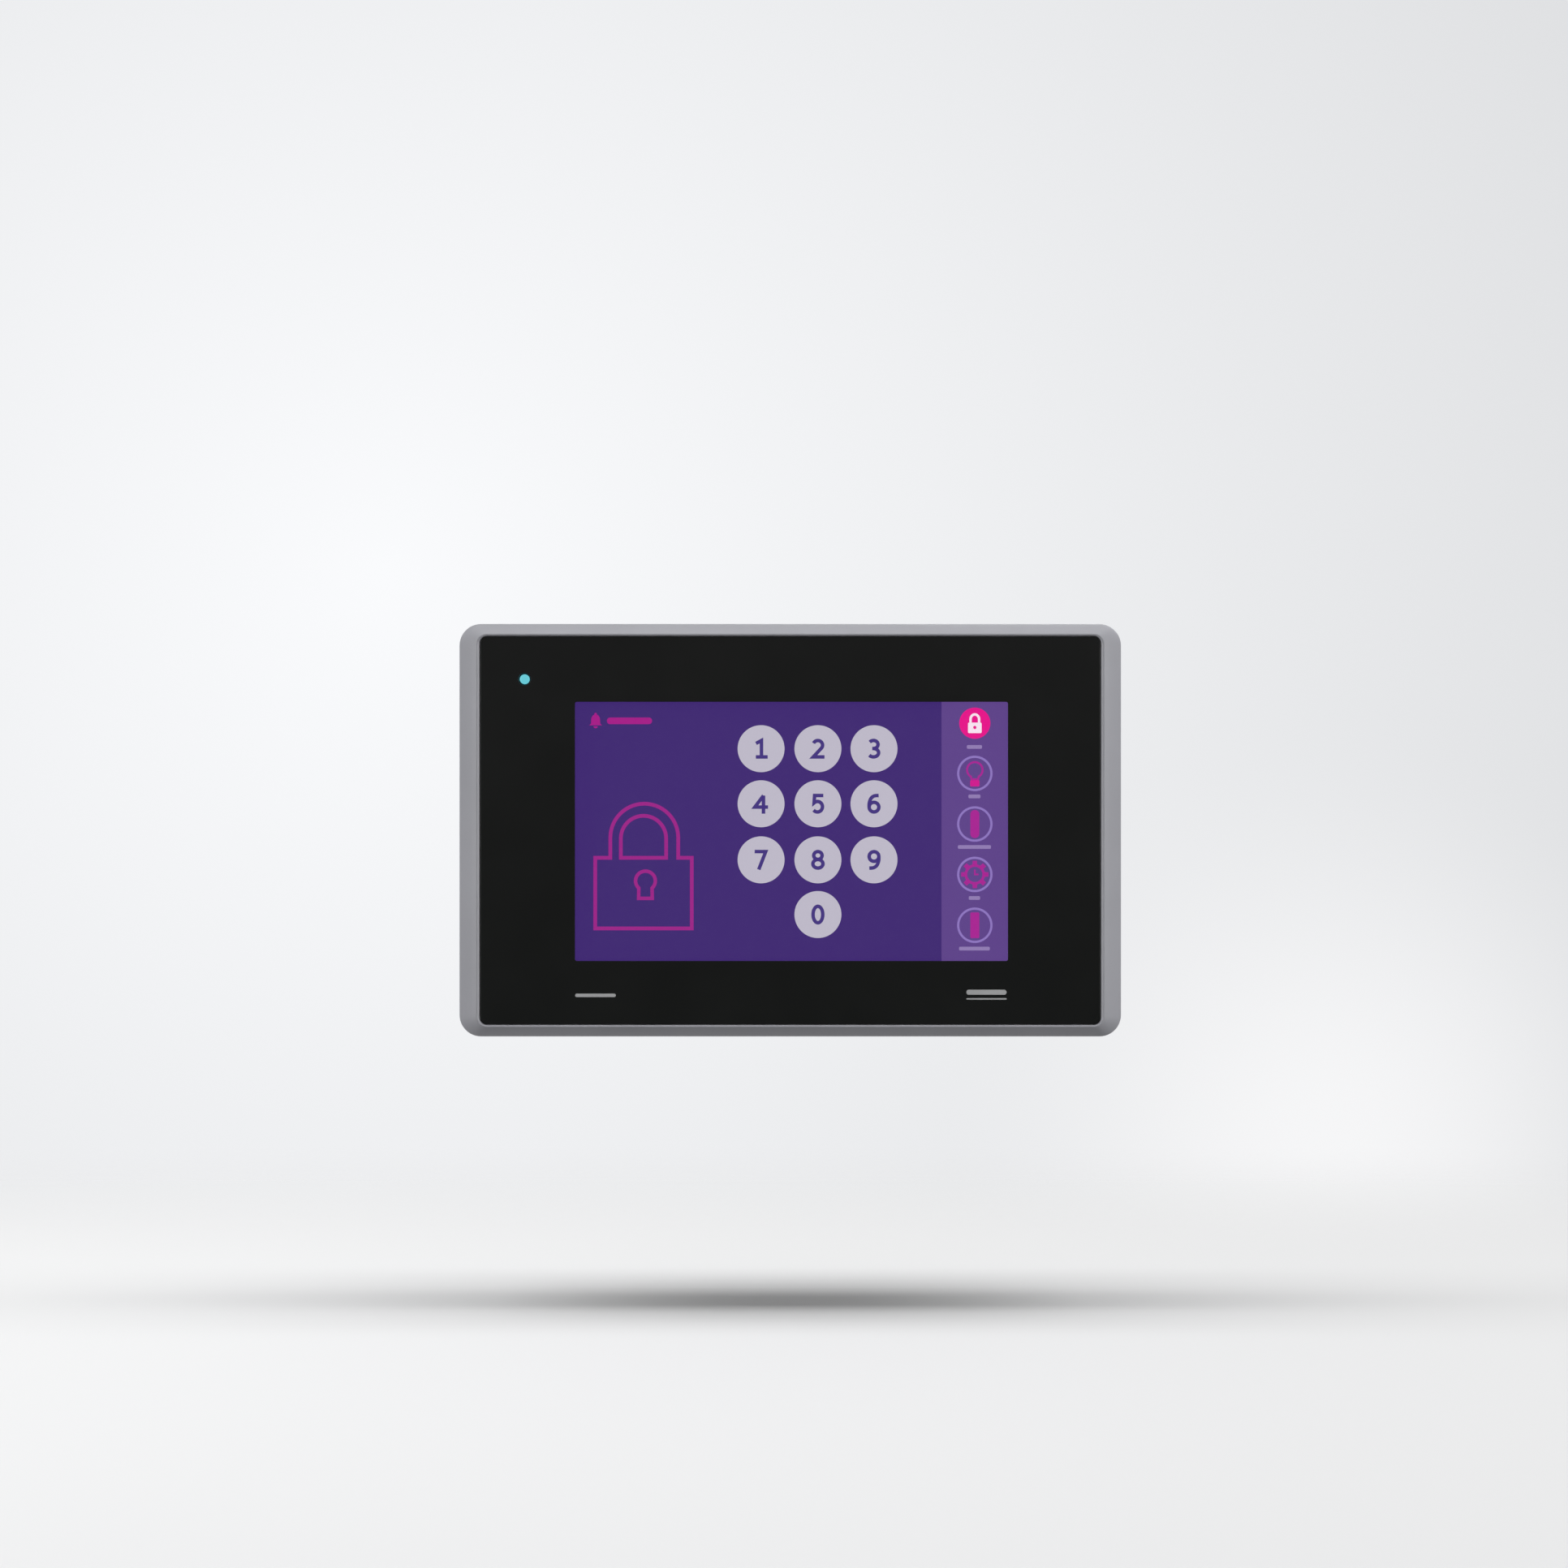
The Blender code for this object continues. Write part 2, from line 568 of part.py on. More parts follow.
def ethernet_port():
    """Metal shield round a plastic insert, which has the socket and eight contacts in its floor."""
    low, high = (ETHERNET_X - 7.9, ON_BOARD_Y, PORT_MOUTH_Z), (ETHERNET_X + 7.9, 29.0, -2.2)
    shield = blocks("ethernet_shield", [(low, high)], "steel")
    inside = ((low[0] + 0.5, low[1] + 0.5, -26), (high[0] - 0.5, high[1] - 0.5, high[2] - 0.5))
    cut(shield, blocks("shield inside", [inside]))
    insert_low = (low[0] + 0.8, low[1] + 0.8, PORT_MOUTH_Z + 0.3)
    insert_high = (high[0] - 0.8, high[1] - 0.8, high[2] - 0.8)
    insert = blocks("ethernet_insert", [(insert_low, insert_high)], "port_black")
    socket = ((ETHERNET_X - 5.9, 17.6, -26), (ETHERNET_X + 5.9, 25.6, -10.5))
    latch = ((ETHERNET_X - 3.1, 25, -26), (ETHERNET_X + 3.1, 27.2, -16.5))
    cut(insert, blocks("ethernet socket", [socket]), blocks("ethernet latch", [latch]))
    contacts = []
    for i in range(8):
        x = ETHERNET_X + (i - 3.5) * 1.02
        contacts.append(((x - 0.25, 17.3, -21), (x + 0.25, 18.2, -10)))
    join(insert, blocks("ethernet contacts", contacts))


def usb_port():
    shell = blocks("usb_shell", [((USB_X - 7.1, 15.7, PORT_MOUTH_Z), (USB_X + 7.1, 22.7, -5))], "steel")
    cut(shell, blocks("usb socket", [((USB_X - 6.5, 16.3, -25), (USB_X + 6.5, 22.1, -8))]))
    blocks("usb_tongue", [((USB_X - 5.6, 19.6, -22), (USB_X + 5.6, 21.5, -8.3))], "white_nylon")


def jack_nut_places():
    return [(SERIAL_X + side * 12.5, SERIAL_Y) for side in (-1, 1)]


def d_outline(grow=0.0):
    """The keystone outline of a nine-pole serial port, wider towards the back of the panel."""
    half_height, wide, narrow, radius = 4.2 + grow, 8.5 + grow, 7.1 + grow, 1.6 + grow
    corners = ((1, 1, wide), (-1, 1, wide), (-1, -1, narrow), (1, -1, narrow))
    points = []
    for corner, (across, up, half_width) in enumerate(corners):
        for step in range(CORNER_STEPS + 1):
            angle = math.radians(90 * (corner + step / CORNER_STEPS))
            x = SERIAL_X + across * (half_width - radius) + radius * math.cos(angle)
            points.append((x, SERIAL_Y + up * (half_height - radius) + radius * math.sin(angle)))
    return points


def serial_port():
    flange = rounded_box_outline(30.8, 12.4, 1.0, centre=(SERIAL_X, SERIAL_Y))
    mouth, seat, back = -29.0, -23.1, -22.3
    inner, outer = d_outline(), d_outline(0.5)
    sections = [(outer, mouth), (inner, mouth), (inner, back)]
    sections += [(flange, back), (flange, seat), (outer, seat)]
    shell = loft("serial_shell", sections, "steel", ring=True, plane="XY")
    nuts = jack_nut_places()
    cut(shell, upright_rods("serial nut holes", 1.6, -26, -20, nuts))

    body = rounded_box_outline(19.2, 10.4, 0.8, centre=(SERIAL_X, SERIAL_Y))
    small = d_outline(-0.35)
    insert = loft(
        "serial_insert",
        [(small, mouth + 0.5), (small, back + 0.3), (body, back + 0.3), (body, -10)],
        "port_black",
        plane="XY",
    )
    pole_pitch, row_offset = 2.77, 1.42
    poles = [(SERIAL_X + pole_pitch * (i - 2), SERIAL_Y + row_offset) for i in range(5)]
    poles += [(SERIAL_X + pole_pitch * (i - 1.5), SERIAL_Y - row_offset) for i in range(4)]
    cut(insert, upright_rods("serial poles", 0.55, -30, -25, poles, steps=8))

    hexagon = circle_outline(2.7, steps=6)
    nut = loft("jack nut", [(hexagon, z) for z in (-28.4, -23.4)], plane="XY")
    join(nut, upright_rods("jack stud", 1.25, -24, -17.5, [(0, 0)]))
    cut(nut, upright_rods("jack thread", 1.3, -30, -24.5, [(0, 0)]))
    place_copies("serial_jack_nut", nut, [(x, y, 0) for x, y in nuts], "steel")


def power_header():
    """Fixed half of the power connector, with its three pins pressed into its floor."""
    outside = ((HEADER_X - 9, ON_BOARD_Y, -24), (HEADER_X + 9, 26, -12))
    header = blocks("power_header", [outside], "terminal_green")
    cut(header, blocks("header socket", [((HEADER_X - 8, 16.7, -26), (HEADER_X + 8, 24.9, -14.4))]))
    pins = [((x - 0.5, 20, -22), (x + 0.5, 21, -13.2)) for x in PLUG_POLES]
    join(header, blocks("header pins", pins))


def power_plug():
    """Pull-off half of the power connector, with a contact strip and a rising clamp in each pole."""
    nose = ((HEADER_X - 7.6, 17, -25), (HEADER_X + 7.6, 24.6, -14.9))
    plug = blocks(
        "power_plug",
        [((HEADER_X - 7.9, 16.2, -38.5), (HEADER_X + 7.9, 29.4, -24.4))],
        "terminal_green",
        origin=(HEADER_X, 22, -31),
    )
    join(plug, blocks("plug nose", [nose]))
    wire_ways, chambers, slots = [], [], []
    for x in PLUG_POLES:
        wire_ways.append(((x - 1.7, 20.2, -40), (x + 1.7, 23.8, -30)))
        chambers.append(((x - 2.25, 18.6, -36), (x + 2.25, 26.6, -30.6)))
        slots.append(((x - 1.2, 19.4, -31), (x + 1.2, 23, -13)))
    cut(
        plug,
        blocks("plug chambers", chambers),
        blocks("plug wire ways", wire_ways),
        blocks("plug pin slots", slots),
    )
    cut(plug, rods("plug screw ways", 2.05, 26, 31, [(x, TERMINAL_Z) for x in PLUG_POLES]))
    strips = [((x - 0.8, 21.6, -35.4), (x + 0.8, 22.4, -15.6)) for x in PLUG_POLES]
    anchors = [((x - 1.6, 21.6, -28.5), (x + 1.6, 22.4, -26.5)) for x in PLUG_POLES]
    join(plug, blocks("contact strips", strips), blocks("strip anchors", anchors))
    for number, x in enumerate(PLUG_POLES, 1):
        terminal_screw(number, x)
        terminal_cage(number, x)


def terminal_screw(number, x):
    """Captive slotted screw: it turns in place and draws the cage up."""
    name = f"power_plug_screw_{number}"
    profile = screw_profile(1.75, 27.0, 28.9, 1.0, 22.9)
    screw = turned(name, profile, "zinc", origin=(x, 0, TERMINAL_Z), steps=16)
    slot = ((x - 2, 28.1, TERMINAL_Z - 0.25), (x + 2, 30, TERMINAL_Z + 0.25))
    cut(screw, blocks(f"{name} slot", [slot]))


def terminal_cage(number, x):
    """Box clamp round the wire, with a threaded hole in its top for the screw."""
    name = f"power_plug_cage_{number}"
    outer = box_outline((x - 1.9, 19.0), (x + 1.9, 25.0))
    inner = box_outline((x - 1.3, 20.0), (x + 1.3, 23.8))
    cage = flat_piece(name, [outer, inner], (-35.3, -31.3), "zinc", plane="XY")
    thread = cylinder_profile(1.25, 23, 26)
    cut(cage, turned(f"{name} thread", thread, origin=(x, 0, TERMINAL_Z), steps=12))


def mode_switch():
    """Two small slide switches next to the power input."""
    body = ((SWITCH_X - 3.2, ON_BOARD_Y, -23), (SWITCH_X + 3.2, 22, -16))
    switch = blocks("mode_switch_body", [body], "switch_red")
    slots = []
    for number, side in enumerate((-1, 1), 1):
        x = SWITCH_X + 1.5 * side
        slots.append(((x - 0.9, 17.1, -24), (x + 0.9, 20.9, -21.3)))
        low, high = (x - 0.6, 17.4, -23.7), (x + 0.6, 18.9, -21.6)
        blocks(f"mode_switch_slider_{number}", [(low, high)], "white_nylon", origin=(x, 18.15, -22.6))
    cut(switch, blocks("switch slots", slots))


# ---- Rear housing ----


def bay_corners(grow=0.0):
    """The connector bay as a box, grown outwards for its inner walls."""
    half = BAY_HALF_WIDTH + grow
    return (-half, BAY_FRONT_Y - grow, -50), (half, 50, BAY_CEILING_Z + grow)


def port_openings():
    """Openings in the bay's ceiling, one for each port."""
    low, high = BAY_CEILING_Z - 1, BAY_CEILING_Z + HOUSING_WALL + 1
    ports = [
        (HEADER_X, 9.5, 15.1, 26.5),
        (SWITCH_X, 3.7, 15.1, 22.4),
        (ETHERNET_X, 8.4, 15.1, 29.5),
        (USB_X, 7.6, 15.1, 23.2),
        (SERIAL_X, 10.1, SERIAL_Y - 5.7, SERIAL_Y + 5.7),
    ]
    return [((x - half, front, low), (x + half, back, high)) for x, half, front, back in ports]


def clamp_slots():
    slots = []
    for x, z in four_corners(CLAMP_X, HOUSING_HEIGHT / 2):
        for side in (-1, 1):
            middle = x + side * HOOK_OFFSET
            slots.append(((middle - 1.6, 22.6, z - 3.2), (middle + 1.6, 27.9, z + 3.2)))
    return slots


def vents():
    top = HOUSING_HEIGHT / 2
    slots = [((x - 1.2, 19, top - 3.2), (x + 1.2, 33, top + 3)) for x in range(-42, 43, 7)]
    for side in (-1, 1):
        for step in range(4):
            x = side * (44.5 + 4.6 * step)
            slots.append(((x - 1.1, 36, 0), (x + 1.1, 42, 30)))
    return slots


def housing_body(name, inset, front_y, back_y, edge, finish=None):
    """The housing's box, or its hollow when it is inset by the wall."""
    radius = HOUSING_RADIUS - inset
    width, height = HOUSING_WIDTH - 2 * inset, HOUSING_HEIGHT - 2 * inset
    sections = [(rounded_box_outline(width, height, radius), front_y)]
    for step in range(3):
        angle = math.radians(45 * step)
        shrink = edge * (1 - math.cos(angle))
        outline = rounded_box_outline(width - 2 * shrink, height - 2 * shrink, radius - shrink * 0.6)
        sections.append((outline, back_y - edge + edge * math.sin(angle)))
    return loft(name, sections, finish)


def rear_housing():
    housing = housing_body(
        "rear_housing", 0, HOUSING_FRONT_Y, HOUSING_BACK_Y, HOUSING_EDGE, "case_grey"
    )
    hollow = housing_body(
        "housing hollow", HOUSING_WALL, HOUSING_FRONT_Y - 1, HOUSING_BACK_Y - HOUSING_WALL, 0.6
    )
    cut(hollow, blocks("bay walls", [bay_corners(HOUSING_WALL)]))
    cut(housing, blocks("bay", [bay_corners()]), hollow)
    inside_back = HOUSING_BACK_Y - HOUSING_WALL
    columns = four_corners(COLUMN_X, COLUMN_Z)
    ground = [(GROUND_X, GROUND_Z)]
    join(
        housing,
        rods("screw columns", 4.0, CHASSIS_Y[1] + GAP, inside_back + 0.8, columns),
        rods("ground column", 4.2, 29, inside_back + 0.8, ground),
    )
    cut(
        housing,
        rods("counterbores", 3.1, COUNTERBORE_Y, 45, columns),
        rods("screw ways", 1.7, 0, COUNTERBORE_Y + 1, columns),
        rods("ground thread", 2.4, 25, 45, ground),
        upright_rods("jack nut ways", 1.8, -26, -16, jack_nut_places()),
        blocks("ports", port_openings()),
        blocks("clamp slots", clamp_slots()),
        blocks("vents", vents()),
    )


def housing_screws():
    """Long-reach screws: through the housing's columns and the chassis into the frame's bosses."""
    seat = COUNTERBORE_Y + GAP
    profile = screw_profile(2.7, seat, seat + 2.2, 1.2, -2.6)
    pan_screws("housing_screw", profile, four_corners(COLUMN_X, COLUMN_Z), seat + 1.1, 3.2)


def rating_label():
    plate = rounded_box_outline(70, 34, 1.5, centre=(0, 15))
    flat_piece(
        "rating_label", [plate], (HOUSING_BACK_Y + GAP, HOUSING_BACK_Y + GAP + 0.25), "label_silver"
    )


def ground_terminal():
    origin = (GROUND_X, 0, GROUND_Z)
    low = HOUSING_BACK_Y + GAP
    profile = [(2.4, low + 0.8), (4.4, low + 0.8), (4.4, low), (2.4, low), (2.4, low + 0.8)]
    turned("ground_washer", profile, "zinc", origin=origin)
    seat = low + 0.8 + GAP
    screw = turned("ground_screw", screw_profile(3.7, seat, seat + 2.3, 2.0, 32), "zinc", origin=origin)
    for turn in (0, 90):
        slot = blocks(f"ground recess {turn}", [((-2.3, seat + 1.1, -0.45), (2.3, seat + 4, 0.45))])
        slot.location = Vector(origin) * MM
        slot.rotation_euler.y = math.radians(turn)
        cut(screw, slot)


# ---- Mounting clamps ----


def clamp_shape():
    """Clamp at the origin of its wall: base, screw block and guide ear, and two hooks below the wall."""
    side_view = [(15, 0.3), (32, 0.3), (32, 1.5), (31, 1.5), (31, 6.4), (29.8, 7.6), (22.2, 7.6)]
    side_view += [(21, 6.4), (21, 1.5), (17.5, 1.5), (17.5, 6.8), (16.7, 7.6), (15.8, 7.6), (15, 6.8)]
    body = flat_piece("clamp", [side_view], (-5.4, 5.4), "zinc", plane="YZ")
    hook = [(25, 1), (25, -3.7), (29.6, -3.7), (29.6, -2.5), (27.6, -2.5), (27.6, 1)]
    for side in (-1, 1):
        middle = side * HOOK_OFFSET
        join(body, flat_piece(f"hook {side}", [hook], (middle - 1.2, middle + 1.2), plane="YZ"))
    cut(body, rods("clamp screw way", 2.4, 10, 40, [(0, CLAMP_SCREW_RISE)]))
    return baked(body)


def clamp_screw_shape():
    head_low, head_high, neck_y = 35.2, 37.8, 9.9
    radius = CLAMP_SCREW_RADIUS
    profile = [(0, head_high), (2.6, head_high), (3.5, head_high - 0.9), (3.5, head_low)]
    profile += [(radius, head_low), (radius, neck_y), (1.3, neck_y - 0.6), (1.3, 6.9), (0, 6.9)]
    screw = turned("clamp screw shape", profile)
    for name, half_x, half_z in (("across", 2.2, 0.4), ("upright", 0.4, 2.2)):
        cut(screw, blocks(f"clamp recess {name}", [((-half_x, 36.4, -half_z), (half_x, 39, half_z))]))
    return baked(screw)


def clamp_foot_shape():
    """Nylon pad that swivels on the screw's tip and presses on the wall's back."""
    front = FOOT_FRONT_Y
    profile = [(0, front + 1.6), (1.65, front + 1.6), (1.65, front + 4.0), (2.5, front + 4.0)]
    profile += [(3.3, front + 1.8), (3.3, front + 0.4), (2.9, front), (0, front)]
    return baked(turned("clamp foot shape", profile))


def clamps():
    """Four clamps; those underneath are the same pieces turned over."""
    pieces = (
        ("clamp", clamp_shape(), 0, "zinc"),
        ("clamp_screw", clamp_screw_shape(), CLAMP_SCREW_RISE, "zinc"),
        ("clamp_foot", clamp_foot_shape(), CLAMP_SCREW_RISE, "white_nylon"),
    )
    for piece, shape, rise, finish in pieces:
        for level, up in (("top", 1), ("bottom", -1)):
            for side, across in (("left", -1), ("right", 1)):
                copy = add_object(f"{piece}_{level}_{side}", shape, finish)
                copy.location = Vector((across * CLAMP_X, 0, up * (HOUSING_HEIGHT / 2 + rise))) * MM
                copy.rotation_euler.y = 0 if up > 0 else math.radians(180)


def build():
    clear_scene()
    collection("alarm_keypad_panel")
    collection("cutters")
    front_frame()
    front_stack()
    status_light()
    flat_cables()
    chassis_plate()
    main_board()
    heat_sink()
    buzzer()
    battery()
    ethernet_port()
    usb_port()
    serial_port()
    power_header()
    power_plug()
    mode_switch()
    rear_housing()
    housing_screws()
    rating_label()
    ground_terminal()
    clamps()


build()
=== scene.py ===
"""Looks of the touch-screen alarm keypad panel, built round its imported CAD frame.

Lengths in the geometry helpers are millimetres, in the CAD's own axes: X right for someone
facing the screen, Y from the screen into the cabinet, Z up. Camera, lights and stage are in
metres.
"""

import math

import bmesh
import bpy
from mathutils import Matrix, Vector

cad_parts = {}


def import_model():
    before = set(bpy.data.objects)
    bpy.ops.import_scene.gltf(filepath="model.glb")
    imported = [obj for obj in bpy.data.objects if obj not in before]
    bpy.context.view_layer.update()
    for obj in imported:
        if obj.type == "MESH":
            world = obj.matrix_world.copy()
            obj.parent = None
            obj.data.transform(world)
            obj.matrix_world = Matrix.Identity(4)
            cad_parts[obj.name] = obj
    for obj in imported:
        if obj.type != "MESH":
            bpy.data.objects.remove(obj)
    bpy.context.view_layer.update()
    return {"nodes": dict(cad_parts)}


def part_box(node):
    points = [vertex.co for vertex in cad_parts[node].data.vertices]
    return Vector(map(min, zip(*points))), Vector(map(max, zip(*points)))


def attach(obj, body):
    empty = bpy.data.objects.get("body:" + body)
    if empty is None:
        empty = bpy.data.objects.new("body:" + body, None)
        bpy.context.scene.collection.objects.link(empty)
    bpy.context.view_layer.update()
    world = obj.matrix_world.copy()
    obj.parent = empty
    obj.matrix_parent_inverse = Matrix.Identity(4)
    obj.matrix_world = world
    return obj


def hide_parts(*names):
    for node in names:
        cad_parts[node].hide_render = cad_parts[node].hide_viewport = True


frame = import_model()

MM = 0.001
NODES = frame["nodes"]
CLAMP_PLACES = ("top_left", "top_right", "bottom_left", "bottom_right")


def srgb(*levels):
    """Linear colour of three 0-255 screen levels."""
    shares = [level / 255 for level in levels]
    return tuple(c / 12.92 if c <= 0.04045 else ((c + 0.055) / 1.055) ** 2.4 for c in shares)


def box_mm(node):
    """Lowest and highest corner of a CAD node's box."""
    low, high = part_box(node)
    return low / MM, high / MM


def middle_xz(low, high):
    return (low.x + high.x) / 2, (low.z + high.z) / 2


# ---- Materials ----


class Graph:
    """A node tree, with short ways to add nodes fed by plain values or by other nodes' outputs."""

    def __init__(self, tree):
        self.tree = tree

    def feed(self, socket, value):
        if isinstance(value, bpy.types.NodeSocket):
            self.tree.links.new(value, socket)
        else:
            socket.default_value = value

    def add(self, kind, *first, settings=None, **named):
        """Adds a shader node: bare values feed its first inputs, named ones the inputs so named."""
        node = self.tree.nodes.new(f"ShaderNode{kind}")
        for key, value in (settings or {}).items():
            setattr(node, key, value)
        for socket, value in zip(node.inputs, first):
            self.feed(socket, value)
        for key, value in named.items():
            self.feed(node.inputs[key.replace("_", " ")], value)
        return node

    def maths(self, operation, first, second=0.0):
        return self.add("Math", first, second, settings={"operation": operation}).outputs[0]

    def vectors(self, operation, first, second):
        """A number worked out from two vectors."""
        node = self.add("VectorMath", first, second, settings={"operation": operation})
        return node.outputs["Value"]

    def spread(self, value, low, high, start=0.3, end=0.7, smooth=False):
        """A value that goes from start to end, mapped to a number from low to high."""
        node = self.add(
            "MapRange",
            settings={"interpolation_type": "SMOOTHSTEP" if smooth else "LINEAR"},
            Value=value,
            From_Min=start,
            From_Max=end,
            To_Min=low,
            To_Max=high,
        )
        return node.outputs["Result"]

    def ramp(self, place, centre, start, end, low, high, smooth=False):
        """A number that goes from low to high with the distance from a point."""
        return self.spread(self.vectors("DISTANCE", place, centre), low, high, start, end, smooth)

    def mix(self, share, first, second):
        """Blends two colours, each an output or (red, green, blue), by the second one's share."""
        node = self.add("Mix", settings={"data_type": "RGBA"})
        self.feed(node.inputs[0], share)
        for socket, colour in zip(node.inputs[6:8], (first, second)):
            given = isinstance(colour, bpy.types.NodeSocket)
            self.feed(socket, colour if given else (*colour, 1))
        return node.outputs[2]


class Paint(Graph):
    """A Principled material whose textures are placed in millimetres."""

    def __init__(self, name, colour, roughness, metallic=0.0, **sockets):
        self.material = bpy.data.materials.new(name)
        self.material.use_nodes = True
        super().__init__(self.material.node_tree)
        self.shader = self.tree.nodes["Principled BSDF"]
        self.colour = colour
        self.look(Base_Color=(*colour, 1), Roughness=roughness, Metallic=metallic, **sockets)
        place = self.add("TexCoord").outputs["Object"]
        self.millimetres = self.add("Mapping", Vector=place, Scale=(1 / MM,) * 3).outputs["Vector"]

    def look(self, **sockets):
        """Sets or links inputs of the shader."""
        for key, value in sockets.items():
            self.feed(self.shader.inputs[key.replace("_", " ")], value)

    def noise(self, size, detail=2.0, stretch=None, distortion=0.0):
        """Noise whose blotches are about this many millimetres across."""
        vector = self.millimetres
        if stretch:
            vector = self.add("Mapping", Vector=vector, Scale=stretch).outputs["Vector"]
        pattern = {"Scale": 1 / size, "Detail": detail, "Distortion": distortion}
        return self.add("TexNoise", Vector=vector, **pattern).outputs["Fac"]

    def mottled(self, size, amount, colour=None):
        """The colour, a little lighter and darker in soft blotches."""
        colour = colour or self.colour
        darker = [c * (1 - amount) for c in colour]
        lighter = [min(1, c * (1 + amount)) for c in colour]
        return self.mix(self.spread(self.noise(size, 4), 0, 1), darker, lighter)

    def edges(self, radius):
        """(normal that rounds off sharp edges, mask that is 1 on them)."""
        rounded = self.add("Bevel", settings={"samples": 6}, Radius=radius * MM).outputs["Normal"]
        true_normal = self.add("NewGeometry").outputs["Normal"]
        alike = self.vectors("DOT_PRODUCT", rounded, true_normal)
        return rounded, self.spread(alike, 1, 0, 0.8, 0.995)

    def bump(self, height, depth, normal=None):
        """Normal of a relief this many millimetres deep."""
        node = self.add("Bump", Height=height, Strength=1.0, Distance=depth * MM)
        if normal is not None:
            self.feed(node.inputs["Normal"], normal)
        return node.outputs["Normal"]


def moulded(
    name, colour, roughness=0.5, grain=0.35, depth=0.03, rounding=0.25, worn=0.25, blotchy=0.05
):
    """Injection-moulded plastic: eroded texture, soft blotches, edges rubbed a little shiny."""
    paint = Paint(name, colour, roughness)
    normal, edge = paint.edges(rounding)
    grains = paint.noise(grain, 3)
    rubbed = paint.maths("MULTIPLY", edge, paint.spread(paint.noise(2.5, 3), 0, 1, 0.35, 0.6))
    paler = [c + (0.35 - c) * worn * 0.5 if c < 0.35 else c * (1 + worn * 0.3) for c in colour]
    rough = paint.spread(grains, roughness - 0.07, roughness + 0.09)
    paint.look(
        Base_Color=paint.mix(rubbed, paint.mottled(6, blotchy), paler),
        Roughness=paint.maths("SUBTRACT", rough, paint.maths("MULTIPLY", rubbed, 0.15)),
        Normal=paint.bump(grains, depth, normal),
    )
    return paint.material


def sheet_metal(name, colour, roughness=0.34, along=0, rounding=0.2, patchy=0.1, depth=0.003):
    """Rolled or plated metal: fine lines along one axis, dull patches, bright edges."""
    paint = Paint(name, colour, roughness, 1.0)
    normal, edge = paint.edges(rounding)
    stretch = [1.0, 1.0, 1.0]
    stretch[along] = 0.03
    lines = paint.noise(0.12, 2, stretch)
    patches = paint.noise(5, 5, distortion=0.4)
    dull = [c * (1 - patchy) for c in colour]
    bright = [min(1, c * 1.25) for c in colour]
    shade = paint.mix(paint.spread(patches, 0, 1), dull, colour)
    rough = paint.maths("ADD", paint.spread(patches, -0.07, 0.09), paint.spread(lines, -0.05, 0.05))
    paint.look(
        Base_Color=paint.mix(edge, shade, bright),
        Roughness=paint.maths("ADD", rough, roughness),
        Normal=paint.bump(lines, depth, normal),
    )
    return paint.material


def frame_paint():
    """Satin silver-grey coat on the cast frame: fine orange peel, faint speckle, paler edges."""
    paint = Paint("frame_satin_grey", (0.435, 0.437, 0.475), 0.42, Specular_IOR_Level=0.4)
    normal, edge = paint.edges(0.35)
    speckle = paint.noise(0.09, 2)
    peel = paint.noise(0.8, 3)
    flecks = paint.spread(speckle, 0, 0.22)
    flecked = paint.mix(flecks, paint.mottled(18, 0.03), (0.56, 0.56, 0.6))
    worn = paint.maths("MULTIPLY", edge, paint.spread(paint.noise(3, 3), 0, 0.5, 0.4, 0.65))
    relief = paint.maths("ADD", paint.maths("MULTIPLY", speckle, 0.5), peel)
    paint.look(
        Base_Color=paint.mix(worn, flecked, (0.6, 0.6, 0.63)),
        Roughness=paint.spread(peel, 0.36, 0.48),
        Normal=paint.bump(relief, 0.004, normal),
    )
    return paint.material


def film_print():
    """Black ink seen through the satin hard coat of the front film, painted a touch paler higher up
    as painted light from above.
    """
    paint = Paint("film_black_print", (0.0078, 0.0088, 0.0083), 0.3)
    height = paint.add("SeparateXYZ", Vector=paint.millimetres).outputs["Z"]
    # painted light: the ink gets a paler colour towards the top, standing in for the light falling
    # from above
    painted_top_light = paint.spread(height, 0, 1, -50, 50)
    paint.look(
        Base_Color=paint.mix(painted_top_light, paint.mottled(30, 0.05), (0.0112, 0.0116, 0.0114)),
        Roughness=paint.spread(paint.noise(14, 2), 0.28, 0.34),
        Normal=paint.bump(paint.noise(0.16, 2), 0.0015),
    )
    return paint.material


def clear_pane(name, share, roughness):
    """Clear film or glass: mostly see-through, a weak mirror-like face, faint wiping marks."""
    paint = Paint(name, (0.93, 0.95, 0.97), roughness, 1.0, Alpha=share)
    marks = paint.noise(9, 4, (1, 1, 0.25), 0.8)
    paint.look(
        Base_Color=paint.mottled(15, 0.04),
        Roughness=paint.spread(marks, roughness - 0.02, roughness + 0.08),
    )
    return paint.material


def glowing(name, levels, added=(0.008, 0.0075, 0.0075), passed=0.94):
    """Lit display colour that is seen as these 0-255 levels.

    The clear layers in front pass on most of the light and add a little of their own.
    """
    colour = [max(0.0, (seen - extra) / passed) for seen, extra in zip(srgb(*levels), added)]
    paint = Paint(name, (0.004, 0.004, 0.005), 0.35)
    paint.look(
        Emission_Color=(*colour, 1),
        Emission_Strength=1.0,
        Base_Color=paint.mottled(4, 0.3),
        Roughness=paint.spread(paint.noise(0.12, 1), 0.3, 0.42),
    )
    paint.material.cycles.emission_sampling = "NONE"
    return paint.material


